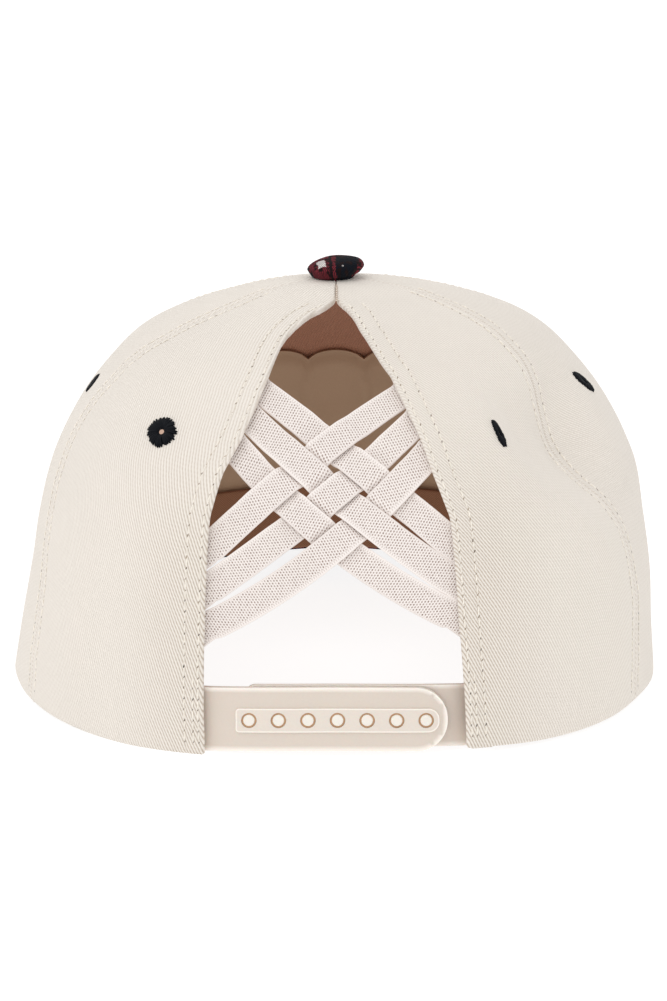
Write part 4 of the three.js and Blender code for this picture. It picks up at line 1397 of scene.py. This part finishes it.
def sheet_point(flat, out):
    """A point of the sheet, moved out square to it, from a flat place (x, height)."""
    step = 1.5
    x, height = flat[..., 0], flat[..., 1]
    across = (strap_sheet(x + step, height) - strap_sheet(x - step, height)) / (2 * step)
    upward = (strap_sheet(x, height + step) - strap_sheet(x, height - step)) / (2 * step)
    normal = unit(np.stack([across, -np.ones_like(x), upward], axis=-1))
    point = np.stack([x, strap_sheet(x, height), height], axis=-1)
    return point + normal * np.asarray(out)[..., None]


def strap_line(row):
    """A strap's flat start, direction, length and bow, with its ends tucked under the hems."""
    left, right, bow = row
    start = np.array((edge_x(left_opening, left), left))
    end = np.array((edge_x(right_opening, right), right))
    direction = unit(end - start)
    length = float(np.linalg.norm(end - start)) + 2 * STRAP_TUCK
    return start - direction * STRAP_TUCK, direction, length, bow


def along_line(line, at):
    """Flat places on a strap's bowed middle line."""
    start, direction, length, bow = line
    at = np.asarray(at, float)
    from_middle = np.minimum(np.abs(2 * at - length) / (length - 2 * STRAP_TUCK), 1)
    place = start + at[..., None] * direction
    place[..., 1] += bow * (1 - from_middle**2)
    return place


def flat_cross(first, second):
    return first[0] * second[1] - first[1] * second[0]


def crossing(line, other):
    """Where a strap meets another. Each step corrects for how far both are bowed there."""
    turn = flat_cross(line[1], other[1])
    at = flat_cross(other[0] - line[0], other[1]) / turn
    for step in range(BOW_STEPS):
        here = along_line(line, at)
        other_at = (here[0] - other[0][0]) / other[1][0]
        at = at + (here[1] - along_line(other, other_at)[1]) * other[1][0] / turn
    return float(at)


def crossings(line, others, over_first):
    """Where a strap meets the crossing ones, in order, with 1 for over and -1 for under."""
    overs = [1 if (k % 2 == 0) == over_first else -1 for k in range(len(others))]
    return sorted((crossing(line, other), over) for other, over in zip(others, overs))


def weave_out(at, met):
    """How far a strap lies outside the sheet along its length."""
    out = np.full(np.shape(at), float(met[0][1]))
    for (here, over), (there, next_over) in zip(met, met[1:]):
        turn = np.clip((at - (here + there) / 2) / STRAP_CHANGE, -0.5, 0.5)
        share = 0.5 + 0.5 * np.sin(math.pi * turn)
        out = np.where(at > here, over + (next_over - over) * share, out)
    half = (met[1][0] - met[0][0]) / 2
    started = smooth((at - (met[0][0] - half - STRAP_EASE)) / STRAP_EASE)
    ended = 1 - smooth((at - (met[-1][0] + half)) / STRAP_EASE)
    return STRAP_WEAVE * out * started * ended


def make_strap(way, index, row, others, over_first):
    line = strap_line(row)
    length = line[2]
    other_lines = [strap_line(other) for other in others]
    upward = other_lines[1][1]
    if flat_cross(line[1], upward) < 0:
        upward = -upward
    piece = add_grid(f"strap_{way}_{index + 1}", 210, 14)
    along, across = grid_shares(piece)
    at = along * length
    flat = along_line(line, at)
    level = np.zeros(len(at))
    ahead = unit(sheet_point(along_line(line, at + 1), level) - sheet_point(flat, level))
    slanted = sheet_point(flat + upward, level) - sheet_point(flat, level)
    width = np.linalg.norm(slanted - ahead * (slanted * ahead).sum(-1, keepdims=True), axis=-1)
    share = across - 0.5
    flat = flat + (share * STRAP_WIDTH / width)[:, None] * upward
    points = sheet_point(flat, weave_out(at, crossings(line, other_lines, over_first)))
    length_along = (flat - line[0]) @ line[1]
    ribbed = COMB_SIDES[way][index]
    lay(piece, points, length_along, ribbed * share * STRAP_WIDTH)
    modify(piece, "SOLIDIFY", thickness=STRAP_THICKNESS * MM, offset=0)
    bevel(piece, 0.28, 2, 60)
    smooth_shading(piece, 50)
    return finish_piece(piece, "elastic", [elastic], f"elastic_strap_{way}_{index + 1}")


LACING = (  # the straps, the ones that they cross, and which start over
    ("down_right", STRAPS_DOWN_RIGHT, STRAPS_DOWN_LEFT, 1),
    ("down_left", STRAPS_DOWN_LEFT, STRAPS_DOWN_RIGHT, 0),
)
for way, rows, others, over in LACING:
    for index, row in enumerate(rows):
        make_strap(way, index, row, others, index % 2 == over)

# %% [markdown]
# The closure is moulded plastic: a strap with a raised rim and a raised bar of seven holes,
# snapped over a second strap with seven pegs. Both are modelled flat, as the mould makes
# them, with booleans for the holes and one bevel for every edge. Then they are cut across
# every few millimetres and bent round the back of the cap.

# %% Shaping the closure flat
CLOSURE_MIDDLE = 10.1
CLOSURE_HEIGHT = 16.85
CLOSURE_ARCH = 1.1  # how far it comes down towards the hems
CLOSURE_ARCH_HALF = 34
CLOSURE_TUCK = 7.5
CLOSURE_TIP = 29.2
CLOSURE_NEAR = 2.8  # depth of its face under the crown's surface
CLOSURE_BASE = 1.2
CLOSURE_RELIEF = 0.55
CLOSURE_RIM = 1.4
END_FLAT = 0.3  # half the short flat left in the middle of a round end
PEG_STRAP_START = -23.9
PEG_STRAP_CORNER = 3
PEG_STRAP_RISE = 0.55
PEG_STRAP_NARROWER = 0.3
PEG_STRAP_GAP = 0.25
BAR = {"middle": 9.9, "height": 6.3, "left": -26.2, "right": 27}
BAR_BEHIND = 0.05  # how far its face lies behind the strap's
BAR_SUNK = 0.4  # how far its root stays inside the strap's back
BAR_CORNER = 0.9
BAR_RIM = 0.45
BAR_RELIEF = 0.14
HOLE_COUNT = 7
HOLE_PITCH = 7.71
HOLES_ASIDE = 0.4
HOLE_RADIUS = 2.02
PEG_RADIUS = 1.52
RING_RADIUS = 1.98
RING_DEPTH = 0.5
PEG_NEAR = 0.1  # how far a peg's end lies behind the strap's face
PEG_ROOT = 0.6  # how far pegs and rings reach into the inner strap
PEG_STRAP_RAISED = 0.15
PEG_STRAP_RELIEF = 0.5
BEND_STEP = 2.5
BEND_END = 0.5  # no cut comes nearer than this to the strap's right end
# Points near the face get the painted highlight, fading out behind it.
HIGHLIGHT_DEPTH = 0.25  # how far behind the face a point still counts as raised
HIGHLIGHT_FADE = 0.2
PEG_BEFORE = 0.3  # a point this far before the face is on a peg

closure_left = float(edge_x(left_opening, CLOSURE_MIDDLE)) - CLOSURE_TUCK
closure_right = float(edge_x(right_opening, CLOSURE_MIDDLE)) + CLOSURE_TUCK
hole_places = [(k - (HOLE_COUNT - 1) / 2) * HOLE_PITCH + HOLES_ASIDE for k in range(HOLE_COUNT)]


def edit(piece, kind, chosen, action):
    """Runs an action in edit mode, on edges or faces given by their numbers."""
    only(piece)
    bpy.ops.object.mode_set(mode="EDIT")
    bpy.ops.mesh.select_mode(type=kind)
    bpy.ops.mesh.select_all(action="DESELECT")
    bpy.ops.object.mode_set(mode="OBJECT")
    elements = piece.data.edges if kind == "EDGE" else piece.data.polygons
    for index in chosen:
        elements[index].select = True
    bpy.ops.object.mode_set(mode="EDIT")
    action()
    bpy.ops.object.mode_set(mode="OBJECT")


def round_end(bar, side, radius):
    """Bevels the two edges that run through the bar at one end."""
    end = max(side * vertex.co.x for vertex in bar.data.vertices) - 1e-6
    chosen = []
    for edge in bar.data.edges:
        first, second = (bar.data.vertices[k].co for k in edge.vertices)
        through = abs(first.y - second.y) > abs(first.z - second.z)
        if through and side * first.x > end and side * second.x > end:
            chosen.append(edge.index)
    edit(bar, "EDGE", chosen, lambda: bpy.ops.mesh.bevel(offset=radius * MM, segments=16, affect="EDGES"))


def add_bar(name, left, right, middle, height, near, far, corners):
    """A flat bar facing the viewer. corners gives the rounding of its left and right ends."""
    place = ((left + right) / 2 * MM, (near + far) / 2 * MM, middle * MM)
    bar = add(bpy.ops.mesh.primitive_cube_add, name, size=1, location=place)
    bar.scale = ((right - left) * MM, (far - near) * MM, height * MM)
    bpy.ops.object.transform_apply(location=True, rotation=False, scale=True)
    for side, radius in zip((-1, 1), corners):
        if radius:
            round_end(bar, side, radius)
    return bar


def recess_front(bar, rim, depth):
    """Insets the face nearest to the viewer and pushes it in, which leaves a raised rim."""

    def push():
        bpy.ops.mesh.inset(thickness=rim * MM)
        bpy.ops.transform.translate(value=(0, depth * MM, 0))

    nearest = min(vertex.co.y for vertex in bar.data.vertices) + 1e-5
    chosen = [
        face.index for face in bar.data.polygons if face.normal.y < -0.9 and face.center.y < nearest
    ]
    edit(bar, "FACE", chosen, push)


def add_post(name, x, radius, near, far):
    """A round post that points at the viewer."""
    place = (x * MM, (near + far) / 2 * MM, BAR["middle"] * MM)
    post = add(bpy.ops.mesh.primitive_cylinder_add, name, vertices=48, radius=radius * MM,
               depth=(far - near) * MM, location=place, rotation=(math.pi / 2, 0, 0))
    bpy.ops.object.transform_apply(location=True, rotation=True, scale=True)
    return post


def join_or_cut(piece, other, operation):
    modify(piece, "BOOLEAN", object=other, operation=operation, solver="EXACT")
    bpy.data.objects.remove(other)


def mark_painted_highlight(piece, face):
    """Notes for each point how much painted highlight it gets, by its depth from the face. Rims get it all,
    pegs a share.
    """
    depth = read_points(piece)[:, 1] / MM
    share = smooth((face + HIGHLIGHT_DEPTH - depth) / HIGHLIGHT_FADE)
    share[depth < face - PEG_BEFORE] = PEG_PAINTED_HIGHLIGHT
    raised = piece.data.attributes.new(HIGHLIGHT_ATTRIBUTE, "FLOAT", "POINT")
    raised.data.foreach_set("value", share.astype(np.float32))


def bend_round_back(piece, face):
    """Cuts a flat piece across every few millimetres and lays it round the cap's back."""
    points = read_points(piece) / MM
    marks = np.arange(points[:, 0].min() + BEND_STEP, points[:, 0].max() - BEND_END, BEND_STEP)

    def cut():
        for mark in marks:
            bpy.ops.mesh.select_all(action="SELECT")
            bpy.ops.mesh.bisect(plane_co=(mark * MM, 0, 0), plane_no=(1, 0, 0))
        bpy.ops.mesh.select_all(action="SELECT")
        bpy.ops.mesh.quads_convert_to_tris()

    edit(piece, "FACE", (), cut)
    mark_painted_highlight(piece, face)
    x, depth, height = (read_points(piece) / MM).T
    height = height - CLOSURE_ARCH * np.minimum(np.abs(x) / CLOSURE_ARCH_HALF, 1) ** 2
    write_points(piece, np.stack([x, back_face_at(x, height, depth), height], axis=-1) * MM)


def finish_closure(strap, face, materials, node):
    bend_round_back(strap, face)
    smooth_shading(strap, 35)
    modify(strap, "WEIGHTED_NORMAL", weight=100, keep_sharp=True)
    return finish_piece(strap, "snap_plastic", materials, node)


print("the closure runs from", round(closure_left, 1), "to", round(closure_right, 1), "mm")

# %% [markdown]
# The outer strap ends in a half round at the right. Its face is sunk inside a raised rim,
# and a bar with a rim of its own stands on it. Seven round posts are cut out as holes.

# %% The strap with holes
def make_hole_strap():
    face = CLOSURE_NEAR
    plate_back = CLOSURE_NEAR + CLOSURE_RELIEF + CLOSURE_BASE
    strap = add_bar("hole_strap", closure_left, CLOSURE_TIP, CLOSURE_MIDDLE, CLOSURE_HEIGHT,
                    face, plate_back, (0, CLOSURE_HEIGHT / 2 - END_FLAT))
    recess_front(strap, CLOSURE_RIM, CLOSURE_RELIEF)
    bar = add_bar("bar", BAR["left"], BAR["right"], BAR["middle"], BAR["height"], face + BAR_BEHIND,
                  plate_back - BAR_SUNK, (BAR_CORNER, BAR["height"] / 2 - END_FLAT))
    recess_front(bar, BAR_RIM, BAR_RELIEF)
    join_or_cut(strap, bar, "UNION")
    for x in hole_places:
        join_or_cut(strap, add_post("hole", x, HOLE_RADIUS, face - 1, plate_back + 1), "DIFFERENCE")
    bevel(strap, 0.26, 3, use_clamp_overlap=True)
    return finish_closure(strap, face, [plastic], "closure_hole_strap")


make_hole_strap()

# %% [markdown]
# The inner strap lies under the outer one and carries the pegs. Each peg is a post with a
# rounded end, and a brown ring round it, painted shade for the gap, shows in the hole.

# %% The strap with pegs
def make_peg_strap():
    face = CLOSURE_NEAR + CLOSURE_RELIEF + CLOSURE_BASE + PEG_STRAP_GAP
    rim_face = face - PEG_STRAP_RAISED
    strap = add_bar("peg_strap", PEG_STRAP_START, closure_right, CLOSURE_MIDDLE + PEG_STRAP_RISE,
                    CLOSURE_HEIGHT - PEG_STRAP_NARROWER, rim_face, face + CLOSURE_BASE,
                    (PEG_STRAP_CORNER, 0))
    recess_front(strap, CLOSURE_RIM, PEG_STRAP_RELIEF)
    bevel(strap, 0.3, 3)
    strap.data.materials.append(plastic)
    parts = []
    for x in hole_places:
        peg = add_post("peg", x, PEG_RADIUS, CLOSURE_NEAR + PEG_NEAR, face + PEG_ROOT)
        bevel(peg, 0.35, 4)
        peg.data.materials.append(plastic)
        # A ring of painted shade fills the gap round the peg.
        ring = add_post("ring", x, RING_RADIUS, CLOSURE_NEAR + RING_DEPTH, face + PEG_ROOT)
        ring.data.materials.append(ring_shade)
        parts += [peg, ring]
    only(strap)
    for part in parts:
        part.select_set(True)
    bpy.ops.object.join()
    return finish_closure(strap, rim_face, [plastic, ring_shade], "closure_peg_strap")


make_peg_strap()

# %% [markdown]
# The button is a metal shell covered in check cloth and pressed on top where the panels
# meet. A ball is pressed into a low dome with a turned-in underside, and the cloth is
# gathered in small pleats where it goes under. A shank closes the hole between the panels.

# %% The button
BUTTON_RADIUS = 7.8
BUTTON_RISE = 2.9
BUTTON_UNDER = -1.9
BUTTON_DEEPER = 0.2  # its left side reaches deeper by this share, and its right side less
BUTTON_DRAWN = 0.1  # how far the cloth is drawn in below, as a share of the radius
BUTTON_FULL = (2.15, 0.45)  # how full its profile is in the middle, and how much more to the right
BUTTON_WRAP = 0.6  # share of its fall that adds to the length of the cloth over it
BUTTON_LEAN = 4  # degrees
BUTTON_SEAT = 2.6
BUTTON_ASIDE = -0.1
SHANK_LONGER = 0.9  # how much further down the middle of its underside reaches
PLEATS = 26
PLEAT_DEPTH = 0.1


def make_button():
    button = add(bpy.ops.mesh.primitive_uv_sphere_add, "button_cloth", segments=128, ring_count=64, radius=1)
    x, y, z = read_points(button).T
    angle = np.arctan2(y, x)
    radius = np.hypot(x, y)
    under = np.clip(-z, 0, 1)
    pleat = np.sin(PLEATS * angle + 2 * np.sin(3 * angle))
    gathered = np.exp(-(((z + 0.05) / 0.16) ** 2))
    drawn = 1 - BUTTON_DRAWN * np.minimum(under * 3, 1)
    wide = BUTTON_RADIUS * radius * drawn + PLEAT_DEPTH * pleat * gathered
    full = BUTTON_FULL[0] + BUTTON_FULL[1] * x
    dome = BUTTON_RISE * (1 - np.minimum(radius, 1) ** full) ** (1 / full)
    drop = BUTTON_UNDER * (1 - BUTTON_DEEPER * x)
    shank = 1 + SHANK_LONGER * smooth((under - 0.5) / 0.3)
    high = np.where(z > 0, dome, drop * np.minimum(under * 3, 1) * shank)
    laid = BUTTON_RADIUS * radius + BUTTON_WRAP * (BUTTON_RISE - high)
    high = high + 0.08 * np.sin(5 * x + 2) * np.sin(4 * y) * np.clip(z, 0, 1)
    lean = math.radians(BUTTON_LEAN)
    x, y = wide * np.cos(angle), wide * np.sin(angle)
    turned_x = x * math.cos(lean) - high * math.sin(lean)
    turned_z = high * math.cos(lean) + x * math.sin(lean)
    place = np.stack([turned_x + BUTTON_ASIDE, y, turned_z + CROWN["height"][-1] + BUTTON_SEAT], -1)
    lay(button, place, laid * np.cos(angle), laid * np.sin(angle))
    smooth_shading(button, 60)
    return finish_piece(button, "check", [button_check], "button")


make_button()

# %% [markdown]
# The visor is a stiff curved board covered in the check cloth and stitched in rows that
# follow its outer edge. It spans from under the front rim to an edge whose two sides
# touch the floor.

# %% The visor
VISOR_HALF = 61  # degrees each side of the front
VISOR_REACH = 167
VISOR_FLARE = 4
VISOR_RESTS = 74  # distance from the middle at which its sides touch the floor
VISOR_THICKNESS = 3
VISOR_INSET = 3
VISOR_MIDDLE = 9
VISOR_END = 0.98
VISOR_GAP = 0.3
VISOR_SIDE_CURVE = 0.85
VISOR_FRONT_CURVE = 0.8
VISOR_CROWDED = 1.15  # rows of the grid lie closer towards its outer edge
VISOR_ROWS = 7
VISOR_ROW_SPACING = 7.5
VISOR_STITCH = 3.4
VISOR_ROW_ENDS = 0.97  # share of the visor's width that the rows cross
VISOR_ROW_NEAR = 0.06  # how near to its inner edge they come, as a share of its reach


def visor_edge(share):
    """The visor's outer edge, from -1 on the right to 1 on the left."""
    angle = np.abs(share) * math.pi / 2
    corner = form_point(FRONT - VISOR_HALF, 0)
    across = corner[0] * np.sin(angle) ** VISOR_SIDE_CURVE + VISOR_FLARE * np.sin(2 * angle)
    y = corner[1] + (VISOR_REACH - corner[1]) * np.abs(np.cos(angle)) ** VISOR_FRONT_CURVE
    fall = 1 - np.minimum(across / VISOR_RESTS, 1) ** 2
    return np.stack([-np.sign(share) * across, y, VISOR_MIDDLE * fall], axis=-1)


def visor_top(out, share):
    """A point of the visor's upper face, from its inner edge (0) to its outer edge (1)."""
    azimuth = FRONT + share * VISOR_HALF
    inner = cloth_point(azimuth, 0, VISOR_INSET)
    inner[..., 2] = rim_rise(azimuth) - VISOR_GAP - VISOR_THICKNESS
    outer = visor_edge(share * VISOR_END)
    point = inner + np.asarray(out)[..., None] * (outer - inner)
    point[..., 2] = np.maximum(point[..., 2], 0) + VISOR_THICKNESS
    return point


def make_visor():
    piece = add_grid("visor_cloth", 150, 44)
    across, up = grid_shares(piece)
    share = -np.sin((across - 0.5) * math.pi)
    out = 1 - (1 - up) ** VISOR_CROWDED
    points = visor_top(out, share)
    lay(piece, points, *points[:, :2].T)
    modify(piece, "SOLIDIFY", thickness=VISOR_THICKNESS * MM, offset=-1)
    bevel(piece, 1.2, 4, 60)
    keep_above_floor(piece)
    smooth_shading(piece, 60)
    return finish_piece(piece, "check", [visor_check], "visor")


def visor_rows(visor):
    """Rows of stitches a set distance inside the outer edge."""
    share = np.linspace(-VISOR_ROW_ENDS, VISOR_ROW_ENDS, 220)
    outer, inner = (visor_top(np.full(220, out), share) for out in (1.0, 0.0))
    reach = np.linalg.norm(outer - inner, axis=-1)
    lines = []
    for row in range(1, VISOR_ROWS + 1):
        out = 1 - row * VISOR_ROW_SPACING / reach
        keep = out > VISOR_ROW_NEAR
        lines.append(visor_top(out[keep], share[keep]))
    return [(visor, lines)]


visor = make_visor()
make_stitches("visor_stitches", visor_rows(visor), navy_thread, "thread", VISOR_STITCH)

# %% [markdown]
# The cap lies on a plain pale floor in soft studio light. The floor glows a little, as a
# light table does for product pictures, so it lights the cap from below as well and has
# hardly any shadow. A small soft lamp stands in the hollow, and shows the lining.

# %% The studio
FLOOR_GLOW = 0.87
FLOOR_TONE = (0.25, 0.25, 0.25, 1)
WORLD_GLOW = 0.93
KEY_PLACE = (-0.8, -1.2, 2.2)
KEY_POWER = 13
KEY_SIZE = 1.6
KEY_AIM = (0, 0, 0.05)
LAMP_PLACE = (0, 0.005, 0.05)
LAMP_RADIUS = 0.03
LAMP_POWER = 0.03


def add_light(kind, name, place, power):
    bpy.ops.object.light_add(type=kind, location=place)
    light = bpy.context.object
    light.name = name
    light.data.energy = power
    return light


def add_floor():
    floor = add(bpy.ops.mesh.primitive_plane_add, "floor", size=12)
    material, _, shader = new_material("pale_floor", 0.9)
    shader["Base Color"].default_value = FLOOR_TONE
    shader["Emission Color"].default_value = (1, 1, 1, 1)
    shader["Emission Strength"].default_value = FLOOR_GLOW
    floor.data.materials.append(material)
    return floor


def light_world(strength):
    world = bpy.data.worlds.new("studio")
    bpy.context.scene.world = world
    world.use_nodes = True
    world.node_tree.nodes["Background"].inputs[0].default_value = (1, 1, 1, 1)
    world.node_tree.nodes["Background"].inputs[1].default_value = strength


add_floor()
light_world(WORLD_GLOW)
key = add_light("AREA", "big_soft_light", KEY_PLACE, KEY_POWER)
key.data.size = KEY_SIZE
key.rotation_euler = (Vector(KEY_AIM) - Vector(KEY_PLACE)).to_track_quat("-Z", "Y").to_euler()
lamp = add_light("POINT", "hollow_lamp", LAMP_PLACE, LAMP_POWER)
lamp.data.shadow_soft_size = LAMP_RADIUS
bpy.context.scene.view_settings.view_transform = "Standard"
